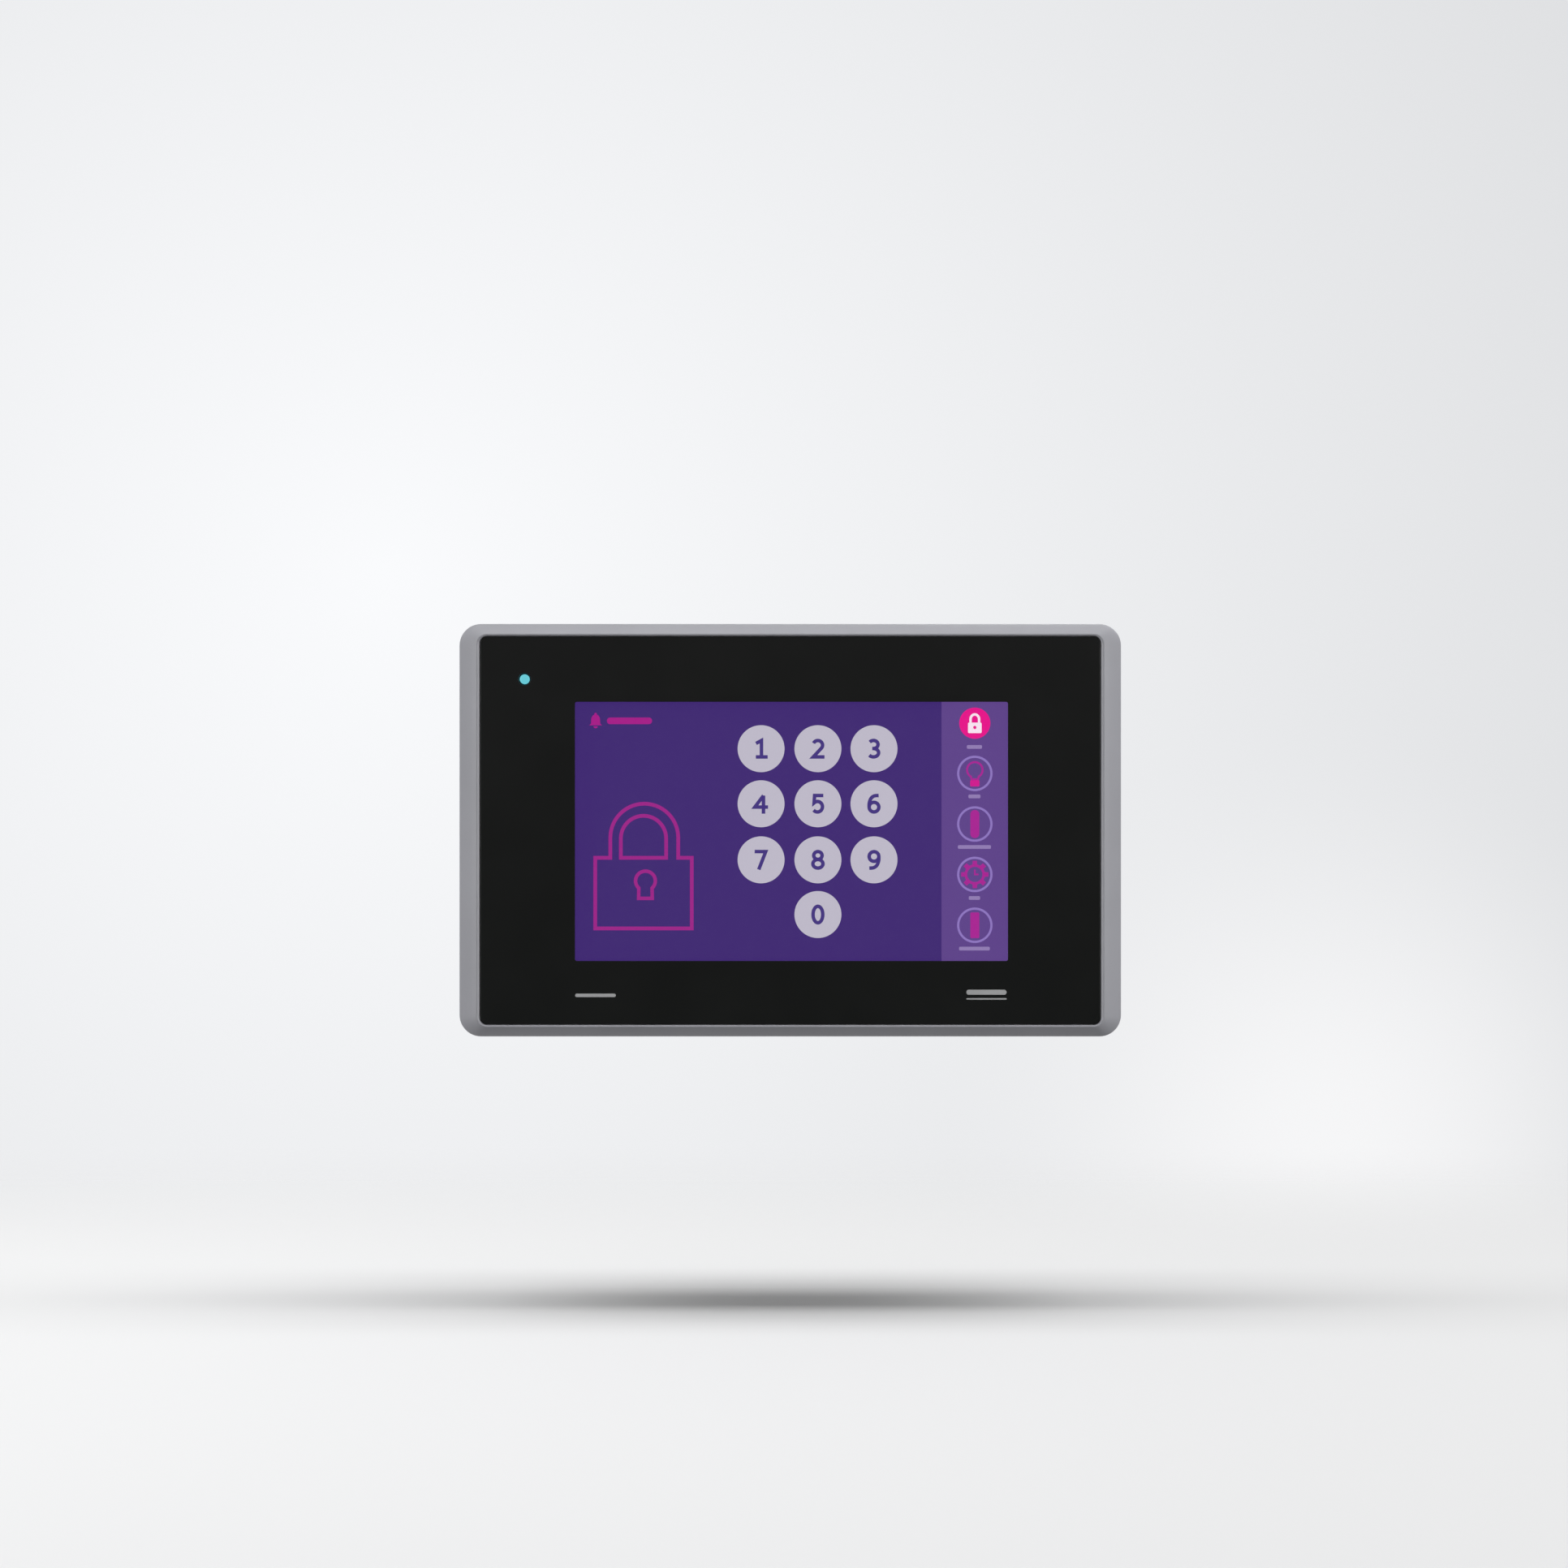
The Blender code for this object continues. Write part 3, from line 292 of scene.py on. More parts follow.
def board_material():
    """Green solder resist with fine copper tracks; black packages and silver cans stand on it."""
    green, track = (0.012, 0.1, 0.045), (0.03, 0.19, 0.08)
    package, light, can = (0.018, 0.018, 0.02), (0.75, 0.76, 0.72), (0.7, 0.7, 0.72)
    front_y, back_y = 13.65, 15.36  # just outside the board's two faces
    can_places, can_radius = ((-54, 6), (-54, 17), (-46, 30)), 4.2
    paint = Paint("board_populated", green, 0.4)
    normal, _ = paint.edges(0.2)
    x, y, z = paint.add("SeparateXYZ", Vector=paint.millimetres).outputs
    lanes = paint.add(
        "TexWave",
        settings={"wave_type": "BANDS", "bands_direction": "DIAGONAL"},
        Vector=paint.millimetres,
        Scale=0.55,
        Distortion=9.0,
        Detail=0.0,
    )
    tracks = paint.spread(lanes.outputs["Fac"], 0, 1, 0.62, 0.7)
    behind = paint.maths("GREATER_THAN", y, back_y)
    in_front = paint.maths("LESS_THAN", y, front_y)
    metal = 0.0
    for can_x, can_z in can_places:
        across = paint.maths("POWER", paint.maths("SUBTRACT", x, can_x), 2)
        up = paint.maths("POWER", paint.maths("SUBTRACT", z, can_z), 2)
        near = paint.maths("LESS_THAN", paint.maths("ADD", across, up), can_radius**2)
        metal = paint.maths("MAXIMUM", metal, paint.maths("MULTIPLY", near, behind))
    shade = paint.mix(behind, paint.mix(tracks, green, track), paint.mottled(1.2, 0.25, package))
    shade = paint.mix(in_front, shade, light)
    relief = paint.maths("ADD", tracks, paint.maths("MULTIPLY", paint.noise(0.2, 2), 0.2))
    paint.look(
        Base_Color=paint.mix(metal, shade, can),
        Metallic=paint.maths("MULTIPLY", metal, 0.9),
        Roughness=paint.spread(paint.noise(0.4, 3), 0.32, 0.5),
        Normal=paint.bump(relief, 0.02, normal),
    )
    return paint.material


def ribbon_material():
    """Amber film with a copper conductor along each millimetre of its width."""
    paint = Paint("flex_amber", (0.55, 0.25, 0.045), 0.35)
    lane = paint.maths("FRACT", paint.add("SeparateXYZ", Vector=paint.millimetres).outputs["X"])
    off_centre = paint.maths("ABSOLUTE", paint.maths("SUBTRACT", lane, 0.5))
    copper = paint.maths("LESS_THAN", off_centre, 0.24)
    paint.look(
        Base_Color=paint.mix(copper, paint.mottled(3, 0.12), (0.62, 0.34, 0.1)),
        Roughness=paint.spread(paint.noise(1.2, 3), 0.28, 0.45),
        Normal=paint.bump(copper, 0.03),
    )
    return paint.material


def foam():
    """Closed-cell black rubber foam, its cell pits dented and painted darker as painted shade."""
    paint = Paint("foam_black", (0.016, 0.016, 0.017), 0.86)
    cells = paint.add("TexVoronoi", Vector=paint.millimetres, Scale=2.6)
    pits_and_pit_shade = paint.spread(cells.outputs["Distance"], 0, 1, 0.1, 0.5)
    paint.look(
        # painted shade: the pits get a darker colour, and the same mask dents them
        Base_Color=paint.mix(pits_and_pit_shade, (0.008, 0.008, 0.009), (0.026, 0.026, 0.027)),
        Roughness=paint.spread(paint.noise(0.7, 3), 0.78, 0.95),
        Normal=paint.bump(pits_and_pit_shade, 0.06),
    )
    return paint.material


MATERIALS = {
    "frame": frame_paint(),
    "film": film_print(),
    "pane": clear_pane("window_clear_film", 0.022, 0.06),
    "glass": clear_pane("touch_clear_glass", 0.012, 0.04),
    "foam": foam(),
    "board": board_material(),
    "flex": ribbon_material(),
    "steel": sheet_metal("steel_sheet", (0.6, 0.6, 0.61), 0.33),
    "tin": sheet_metal(
        "port_shield_tin", (0.74, 0.74, 0.73), rounding=0.12, patchy=0.05, depth=0.001
    ),
    "zinc": sheet_metal(
        "zinc_plated", (0.56, 0.575, 0.6), 0.36, along=1, rounding=0.22, patchy=0.16
    ),
    "screw": sheet_metal("screw_zinc_bright", (0.66, 0.67, 0.69), 0.3, along=1, rounding=0.1),
    "coin": sheet_metal("coin_cell_steel", (0.66, 0.66, 0.65), 0.25, along=2, rounding=0.15),
    "aluminium": sheet_metal("heat_sink_aluminium", (0.74, 0.74, 0.76), 0.42, along=2),
    "gold": sheet_metal("contact_gold", (0.85, 0.6, 0.22), 0.28, along=2, rounding=0.06),
    "guide": moulded("light_guide_acrylic", (0.86, 0.87, 0.9), 0.22, depth=0.004, worn=0.05),
    "pipe": moulded("light_pipe_clear", (0.45, 0.72, 0.75), 0.15, depth=0.002, worn=0.05),
    "case": moulded(
        "case_dark_grey", (0.15, 0.153, 0.16), grain=0.42, depth=0.11, rounding=0.4, blotchy=0.03
    ),
    "black": moulded(
        "connector_black", (0.017, 0.017, 0.019), 0.46, grain=0.2, depth=0.015, worn=0.2
    ),
    "buzzer": moulded("buzzer_black", (0.02, 0.02, 0.022), 0.38, grain=0.15, depth=0.01, worn=0.2),
    "green": moulded(
        "terminal_green", (0.018, 0.23, 0.07), 0.42, grain=0.25, depth=0.015, worn=0.15
    ),
    "red": moulded("switch_red", (0.42, 0.022, 0.022), 0.4, grain=0.2, depth=0.012, worn=0.15),
    "nylon": moulded("nylon_white", (0.74, 0.73, 0.7), 0.44, grain=0.3, depth=0.015, worn=0.05),
    "tongue": moulded(
        "usb_tongue_white", (0.78, 0.78, 0.77), 0.38, grain=0.2, depth=0.01, worn=0.05
    ),
    "label": moulded(
        "label_silver_film", (0.6, 0.6, 0.61), 0.34, grain=0.1, depth=0.003, worn=0.1, blotchy=0.02
    ),
    "ink": moulded("label_dark_ink", (0.02, 0.02, 0.022), grain=0.1, depth=0.003, worn=0.1),
    "print": moulded(
        "front_pale_ink", srgb(196, 197, 198), 0.45, grain=0.1, depth=0.002, worn=0.05
    ),
    "cell": moulded(
        "display_glass_dark", (0.006, 0.006, 0.008), 0.12, grain=2.0, depth=0.001, worn=0.05
    ),
    "purple": glowing("lit_purple", (65, 42, 114)),
    "band": glowing("lit_band", (95, 68, 137)),
    "disc": glowing("lit_key_disc", (190, 185, 200)),
    "digit": glowing("lit_digit", (70, 54, 126)),
    "outline": glowing("lit_padlock_line", (156, 38, 134)),
    "heading": glowing("lit_heading", (165, 30, 135)),
    "hot": glowing("lit_hot_pink", (229, 12, 137)),
    "white": glowing("lit_white", (247, 226, 240)),
    "ring": glowing("lit_icon_ring", (142, 118, 190)),
    "glyph": glowing("lit_icon_glyph", (168, 38, 146)),
    "bright": glowing("lit_icon_bright", (206, 26, 142)),
    "caption": glowing("lit_caption", (145, 124, 178)),
    "cyan": glowing("lit_status_cyan", (102, 200, 213), added=(0, 0, 0), passed=1.0),
}


# ---- Mesh helpers ----


def mesh_object(name, bm):
    """A linked object made of a bmesh, which is used up."""
    mesh = bpy.data.meshes.new(name)
    bm.to_mesh(mesh)
    bm.free()
    obj = bpy.data.objects.new(name, mesh)
    bpy.context.scene.collection.objects.link(obj)
    return obj


def piece(name, bm, finish, body="panel", smooth=30, slot=None, replaces=()):
    """Turns a bmesh into a piece that rides on a body; angles above smooth degrees stay sharp."""
    bmesh.ops.recalc_face_normals(bm, faces=bm.faces)
    obj = mesh_object(name, bm)
    obj.data.shade_smooth()
    obj.data.set_sharp_from_angle(angle=math.radians(smooth))
    obj.data.materials.append(MATERIALS[finish])
    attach(obj, body)
    if replaces:
        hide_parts(*replaces)


def rounded_outline(width, height, radius, centre=(0, 0), steps=12):
    points = []
    for corner, (across, up) in enumerate(((1, 1), (-1, 1), (-1, -1), (1, -1))):
        for step in range(steps + 1):
            angle = math.radians(90 * (corner + step / steps))
            x = centre[0] + across * (width / 2 - radius) + radius * math.cos(angle)
            z = centre[1] + up * (height / 2 - radius) + radius * math.sin(angle)
            points.append((x, z))
    return points


def rectangle(left, right, bottom, top):
    return [(left, bottom), (right, bottom), (right, top), (left, top)]


def circle(radius, centre=(0, 0), steps=64):
    angles = [2 * math.pi * step / steps for step in range(steps)]
    return [(centre[0] + radius * math.cos(a), centre[1] + radius * math.sin(a)) for a in angles]


def arc(centre, radii, start, end, steps=14):
    """Points on an ellipse, from one angle to another, in degrees."""
    points = []
    for step in range(steps + 1):
        a = math.radians(start + (end - start) * step / steps)
        points.append((centre[0] + radii[0] * math.cos(a), centre[1] + radii[1] * math.sin(a)))
    return points


def turned_over(points):
    return [(-x, -z) for x, z in points]


def add_plate(bm, outlines, front, back, edge=0.0):
    """Adds a plate in the XZ plane, from its outer outline and its holes; edge is its bevel."""
    curve = bpy.data.curves.new("plate", "CURVE")
    curve.dimensions = "2D"
    curve.fill_mode = "BOTH"
    curve.extrude = (back - front) / 2 * MM - edge * MM
    if edge:
        curve.bevel_depth = edge * MM
        curve.bevel_resolution = 1
        curve.offset = -edge * MM
    for outline in outlines:
        spline = curve.splines.new("POLY")
        spline.points.add(len(outline) - 1)
        for point, (x, z) in zip(spline.points, outline):
            point.co = (x * MM, z * MM, 0, 1)
        spline.use_cyclic_u = True
    draft = bpy.data.objects.new("plate", curve)
    bpy.context.scene.collection.objects.link(draft)
    graph = bpy.context.evaluated_depsgraph_get()
    mesh = bpy.data.meshes.new_from_object(draft.evaluated_get(graph))
    bpy.data.objects.remove(draft)
    part = bmesh.new()
    part.from_mesh(mesh)
    bmesh.ops.remove_doubles(part, verts=part.verts, dist=0.001 * MM)
    upright = Matrix.Rotation(math.radians(90), 4, "X")
    part.transform(Matrix.Translation((0, (front + back) / 2 * MM, 0)) @ upright)
    bmesh.ops.recalc_face_normals(part, faces=part.faces)
    part.to_mesh(mesh)
    part.free()
    bm.from_mesh(mesh)
    bpy.data.meshes.remove(mesh)


def plate(name, outlines, front, back, finish, edge=0.0, **options):
    bm = bmesh.new()
    add_plate(bm, outlines, front, back, edge)
    piece(name, bm, finish, **options)


def add_skin(bm, rims, closed=False):
    """Adds a skin through rims of (x, y, z) points; a rim of one point is a tip.

    A closed skin joins its last rim to its first. The ends of an open one are capped.
    """
    rims = [[bm.verts.new([c * MM for c in point]) for point in rim] for rim in rims]
    for near, far in zip(rims, rims[1:] + rims[:1] if closed else rims[1:]):
        count = max(len(near), len(far))
        for i in range(count):
            after = (i + 1) % count
            path = ((near, i), (near, after), (far, after), (far, i))
            bm.faces.new(list(dict.fromkeys(rim[k % len(rim)] for rim, k in path)))
    if not closed:
        for rim in (rims[0], rims[-1]):
            if len(rim) > 1:
                bm.faces.new(rim)


def add_loft(bm, sections, closed=False):
    """Adds a skin through equal outlines, each (outline in XZ, y)."""
    add_skin(bm, [[(x, y, z) for x, z in outline] for outline, y in sections], closed)


def turned_rim(radius, y, centre=(0, 0), steps=32):
    """Points of a circle round an axis along Y, or the one on the axis at radius 0."""
    return [(x, y, z) for x, z in (circle(radius, centre, steps) if radius else [centre])]


def add_turned(bm, profile, centre=(0, 0), steps=32):
    """Adds a solid turned about an axis along Y, from (radius, y) points that end at radius 0."""
    add_skin(bm, [turned_rim(radius, y, centre, steps) for radius, y in profile])


def add_ribbon(bm, points, width, front, back, closed=False):
    """Adds a line of even width along (x, z) points, with mitred corners and square ends."""
    sharpest = 0.35  # cosine of half the sharpest turn that gets a full mitre
    line = [Vector(p) for p in points]
    count = len(line)
    rims = []
    for i, point in enumerate(line):
        before = line[i - 1] if i or closed else None
        after = line[(i + 1) % count] if i < count - 1 or closed else None
        way_in = (point - before if before is not None else after - point).normalized()
        way_out = (after - point).normalized() if after is not None else way_in
        side_in, side_out = Vector((-way_in.y, way_in.x)), Vector((-way_out.y, way_out.x))
        side = (side_in + side_out).normalized()
        reach = width / 2 / max(sharpest, side.dot(side_in))
        left, right = point + side * reach, point - side * reach
        corners = ((left, front), (right, front), (right, back), (left, back))
        rims.append([(p.x, y, p.y) for p, y in corners])
    add_skin(bm, rims, closed)


def add_box(bm, low, high):
    size = Vector(high) - Vector(low)
    middle = (Vector(high) + Vector(low)) / 2
    place = Matrix.Translation(middle * MM) @ Matrix.Diagonal((*(size * MM), 1))
    bmesh.ops.create_cube(bm, size=1, matrix=place)


def combined(first, second, operation, solver="EXACT"):
    """One bmesh made of two by a Boolean; both are used up."""
    objects = []
    for bm in (first, second):
        bmesh.ops.recalc_face_normals(bm, faces=bm.faces)
        objects.append(mesh_object("draft", bm))
    modifier = objects[0].modifiers.new("join", "BOOLEAN")
    modifier.operation, modifier.solver, modifier.object = operation, solver, objects[1]
    graph = bpy.context.evaluated_depsgraph_get()
    made = bpy.data.meshes.new_from_object(objects[0].evaluated_get(graph))
    for obj in objects:
        bpy.data.objects.remove(obj)
    bm = bmesh.new()
    bm.from_mesh(made)
    bpy.data.meshes.remove(made)
    return bm


def hollow_box(solid, hollows):
    """A box less other boxes, each given as its (lowest, highest) corner."""
    bm = bmesh.new()
    add_box(bm, *solid)
    for hollow in hollows:
        cutter = bmesh.new()
        add_box(cutter, *hollow)
        bm = combined(bm, cutter, "DIFFERENCE")
    return bm


# ---- Front ----

FRAME_LOW, FRAME_HIGH = box_mm("front_frame")
FRAME_SIZE = (FRAME_HIGH.x - FRAME_LOW.x, FRAME_HIGH.z - FRAME_LOW.z)
FRAME_RADIUS, FRAME_BACK_Y = 5.5, -0.8
SLOPE_START_Y, SLOPE_STEPS = -2.4, 12
SLOPE_POWER = 1.12  # 1 is a flat slope, 2 a quarter ellipse
CREST_SIZE, CREST_RADIUS, CREST_Y = (160.5, 100.4), 2.6, FRAME_LOW.y
RECESS, SEAT_Y = (159.0, 99.5, 1.9), -5.8  # outlines are (width, height, corner radius)
POCKET, POCKET_FLOOR_Y = (122.6, 79.2, 1.5), -3.8
RIM_INSIDE = (150.5, 86.5, 3.0)
GROOVE_INNER, GROOVE_OUTER, GROOVE_Y = (158.2, 94.2, 2.4), (164.6, 100.6, 4.0), -2.3
BOSS_PLACES = [(x, z) for x in (-70.4, 70.4) for z in (-28.0, 28.0)]

OVERLAY_LOW, OVERLAY_HIGH = box_mm("front_overlay")
OVERLAY_SIZE = (OVERLAY_HIGH.x - OVERLAY_LOW.x, OVERLAY_HIGH.z - OVERLAY_LOW.z)
WINDOW_SIZE, WINDOW_CENTRE = (110.8, 66.3), (0.3, -0.25)
LIGHT_LOW, LIGHT_HIGH = box_mm("status_light_pipe")
LIGHT = middle_xz(LIGHT_LOW, LIGHT_HIGH)


def front_frame():
    """Cast frame with a gently bulging slope, a fine lip round the film, and screw bosses."""
    sections = [(rounded_outline(*FRAME_SIZE, FRAME_RADIUS), FRAME_BACK_Y)]
    for step in range(SLOPE_STEPS + 1):
        angle = math.radians(90) * step / SLOPE_STEPS
        inset = 1 - math.cos(angle) ** (2 / SLOPE_POWER)
        rise = math.sin(angle) ** (2 / SLOPE_POWER)
        size = [full + (crest - full) * inset for full, crest in zip(FRAME_SIZE, CREST_SIZE)]
        outline = rounded_outline(*size, FRAME_RADIUS + (CREST_RADIUS - FRAME_RADIUS) * inset)
        sections.append((outline, SLOPE_START_Y + (CREST_Y - SLOPE_START_Y) * rise))
    for narrower, radius, drop in ((0.15, 2.45, 0.02), (0.6, 2.3, 0.14)):  # the lip's inner edge
        lip = rounded_outline(CREST_SIZE[0] - narrower, CREST_SIZE[1] - narrower, radius)
        sections.append((lip, CREST_Y + drop))
    for outline, *levels in (
        (RECESS, CREST_Y + 0.6, SEAT_Y),
        (POCKET, SEAT_Y, POCKET_FLOOR_Y),
        (RIM_INSIDE, POCKET_FLOOR_Y, FRAME_BACK_Y),
        (GROOVE_INNER, FRAME_BACK_Y, GROOVE_Y),
        (GROOVE_OUTER, GROOVE_Y, FRAME_BACK_Y),
    ):
        sections += [(rounded_outline(*outline), y) for y in levels]
    cast, bosses, holes = bmesh.new(), bmesh.new(), bmesh.new()
    add_loft(cast, sections, closed=True)
    boss = [(0, -4.4), (3.4, -4.4), (3.4, 0.7), (3.2, 0.9), (0, 0.9)]
    screw_hole = [(0, -3.4), (1.45, -3.0), (1.45, 2), (0, 2)]
    light_hole = [(0, -7.5), (1.65, -7.5), (1.65, -2), (0, -2)]
    for place in BOSS_PLACES:
        add_turned(bosses, boss, place)
        add_turned(holes, screw_hole, place)
    add_turned(holes, light_hole, LIGHT)
    cast = combined(combined(cast, bosses, "UNION", "MANIFOLD"), holes, "DIFFERENCE", "MANIFOLD")
    piece("front_frame_cast", cast, "frame", smooth=28, slot="frame_grey", replaces=["front_frame"])


def front_film():
    """Black-printed film with a clear window: the printed ring and the pane are one flush sheet."""
    depth = OVERLAY_LOW.y, OVERLAY_HIGH.y
    gap = 0.02
    window = rounded_outline(*WINDOW_SIZE, 0.5, WINDOW_CENTRE, 4)
    ring = [rounded_outline(*OVERLAY_SIZE, 1.6), window[::-1], circle(1.6, LIGHT, 40)[::-1]]
    options = {"slot": "black_film", "replaces": ["front_overlay"]}
    plate("front_film_print", ring, *depth, "film", edge=0.05, smooth=5, **options)
    pane = rounded_outline(WINDOW_SIZE[0] - gap, WINDOW_SIZE[1] - gap, 0.49, WINDOW_CENTRE, 4)
    options = {"slot": "clear_glass", "replaces": ["front_overlay"]}
    plate("front_film_window", [pane], *depth, "pane", **options)


def front_marks():
    """Plain printed bars where the real front carries names."""
    front, thickness = OVERLAY_LOW.y, 0.02
    bm = bmesh.new()
    for x, z, width, height in (
        (-49.85, -42.2, 10.4, 0.9),
        (50.2, -41.4, 10.3, 1.3),
        (50.2, -43.1, 10.3, 0.4),
    ):
        bar = rounded_outline(width, height, height / 2 - 0.01, (x, z), 6)
        add_plate(bm, [bar], front - thickness, front)
    piece("front_printed_bars", bm, "print")


def status_light():
    """Light pipe whose domed tip glows in the film's hole; its stem carries the light forward."""
    tip, back, radius = LIGHT_LOW.y, LIGHT_HIGH.y, 1.25
    options = {"slot": "status_cyan", "replaces": ["status_light_pipe"]}
    dome = [(0, tip), (0.5, tip + 0.03), (0.9, tip + 0.11), (1.15, tip + 0.24)]
    bm = bmesh.new()
    add_turned(bm, [*dome, (radius, tip + 0.42), (radius, tip + 1.2), (0, tip + 1.2)], LIGHT, 40)
    piece("status_light_tip", bm, "cyan", **options)
    stem = [(0, tip + 1.22), (radius, tip + 1.22)]
    collar = [(radius, -3.5), (2.3, -3.5), (2.4, -3.4), (2.4, -2.9), (2.3, -2.8), (radius, -2.8)]
    bm = bmesh.new()
    add_turned(bm, [*stem, *collar, (radius, back - 0.15), (1.1, back), (0, back)], LIGHT, 40)
    piece("status_light_stem", bm, "pipe", **options)


# ---- What the display shows ----

CELL_FRONT = box_mm("lcd_cell")[0].y
LAYER = 0.02  # thickness of one drawn layer
# (front, back) of the drawn layers, from the display forward
GROUND, BAND, SHAPES, MARKS = (
    (CELL_FRONT - LAYER * (number + 1), CELL_FRONT - LAYER * number) for number in range(4)
)


def smooth_line(points, steps=5):
    """A Catmull-Rom curve through the points."""
    ends = [points[0], *points, points[-1]]
    out = []
    for spans in zip(ends, ends[1:], ends[2:], ends[3:]):
        for step in range(steps):
            t = step / steps
            point = []
            for p, q, r, s in zip(*spans):
                bend, twist = 2 * p - 5 * q + 4 * r - s, 3 * q - p - 3 * r + s
                point.append(0.5 * (2 * q + (r - p) * t + bend * t**2 + twist * t**3))
            out.append(tuple(point))
    return [*out, points[-1]]


BOWL = arc((0, -0.86), (1.25, 1.24), 0, 345, 23)
TAIL = smooth_line([(-1.25, -0.9), (-1.2, 0.25), (-0.75, 1.4), (0.1, 2.02), (1.2, 2.12)])
HOOK = arc((-0.12, -0.76), (1.3, 1.36), 115, -140)
DIGIT_LINES = {  # centre lines of each digit about its middle, as (points, closed)
    "0": [(arc((0, 0), (1.25, 2.12), 0, 350, 35), True)],
    "1": [
        ([(-1.3, 1.35), (0.1, 2.1), (0.1, -1.7)], False),
        ([(-1.35, -2.12), (1.7, -2.12)], False),
    ],
    "2": [([*arc((-0.02, 0.9), (1.22, 1.2), 155, -32), (-1.2, -2.12), (1.7, -2.12)], False)],
    "3": [
        ([*arc((-0.12, 1.08), (1.17, 1.04), 145, -90), (-0.45, 0.04)], False),
        ([(-0.45, 0.04), *arc((-0.12, -1.04), (1.32, 1.08), 90, -145)], False),
    ],
    "4": [
        ([(0.62, 2.12), (-1.6, -0.85), (1.8, -0.85)], False),
        ([(0.62, 2.12), (0.62, -2.55)], False),
    ],
    "5": [([(1.4, 2.12), (-0.85, 2.12), (-0.98, 0.22), *HOOK], False)],
    "6": [(BOWL, True), (TAIL, False)],
    "7": [([(-1.65, 2.12), (1.2, 2.12), (-0.6, -2.5)], False)],
    "8": [
        (arc((0, 1.12), (1.08, 1.0), 0, 345, 23), True),
        (arc((0, -1.02), (1.3, 1.1), 0, 345, 23), True),
    ],
    "9": [(turned_over(BOWL), True), (turned_over(TAIL), False)],
}
DISC_RADIUS, DIGIT_LINE_WIDTH = 6.03, 0.92
KEY_COLUMNS, KEY_ROWS = (-7.5, 7.1, 21.5), (20.95, 6.8, -7.6, -21.65)
KEYS = {
    str(3 * row + column + 1): (KEY_COLUMNS[column], KEY_ROWS[row])
    for row in range(3)
    for column in range(3)
}
KEYS["0"] = (KEY_COLUMNS[1], KEY_ROWS[3])


def keypad():
    discs, digits = bmesh.new(), bmesh.new()
    for key, (x, z) in KEYS.items():
        add_plate(discs, [circle(DISC_RADIUS, (x, z), 72)], *SHAPES)
        for line, closed in DIGIT_LINES[key]:
            add_ribbon(digits, [(x + u, z + v) for u, v in line], DIGIT_LINE_WIDTH, *MARKS, closed)
    piece("screen_key_discs", discs, "disc")
    piece("screen_key_digits", digits, "digit")


def padlock_outline():
    """Body and outer shackle as one line, the shackle's inner edge, and the keyhole."""
    line_width, keyhole_line_width = 0.95, 0.9
    left, right, bottom, top = -50.1, -25.3, -25.22, -7.08
    shackle_left, shackle_right = -46.22, -28.78
    outer = [(shackle_left, top), (left, top), (left, bottom), (right, bottom), (right, top)]
    outer += [(shackle_right, top), (shackle_right, -1.9)]
    outer += arc((-37.5, -1.9), (8.72, 8.72), 0, 180, 28)[1:]
    inner = [(-31.88, top), (-31.88, -2.1), *arc((-37.7, -2.1), (5.82, 5.82), 0, 180, 24)[1:]]
    inner.append((-43.52, top))
    keyhole = [*arc((-37.2, -13.0), (2.55, 2.5), -48, 228, 22), (-38.95, -17.5), (-35.45, -17.5)]
    bm = bmesh.new()
    add_ribbon(bm, outer, line_width, *SHAPES, closed=True)
    add_ribbon(bm, inner, line_width, *SHAPES, closed=True)
    add_ribbon(bm, keyhole, keyhole_line_width, *SHAPES, closed=True)
    piece("screen_padlock_outline", bm, "outline")


def heading():
    """A bell and a bar stand in for the page's heading."""
    x, z = -50.0, 28.1
    bell = [(x - 1.65, z - 1.15), (x - 1.2, z - 0.75), *arc((x, z + 0.35), (1.12, 1.3), 180, 0, 14)]
    bell += [(x + 1.2, z - 0.75), (x + 1.65, z - 1.15)]
    clapper = arc((x, z - 1.4), (0.55, 0.5), 180, 360, 10)
    knob = circle(0.34, (x, z + 1.72), 20)
    bar = rounded_outline(11.6, 1.7, 0.84, (-41.3, z), 6)
    bm = bmesh.new()
    for outline in (bell, clapper, knob, bar):
        add_plate(bm, [outline], *SHAPES)
    piece("screen_heading_marks", bm, "heading")


ICON_X, ALARM_Z = 47.4, 27.5
RING_ROWS = (14.6, 1.6, -11.35, -24.4)
RING_RADII = (4.55, 3.98)
CAPTIONS = ((21.4, 3.9), (8.7, 3.1), (-4.3, 8.5), (-17.4, 2.9), (-30.4, 7.9))  # (z, width)


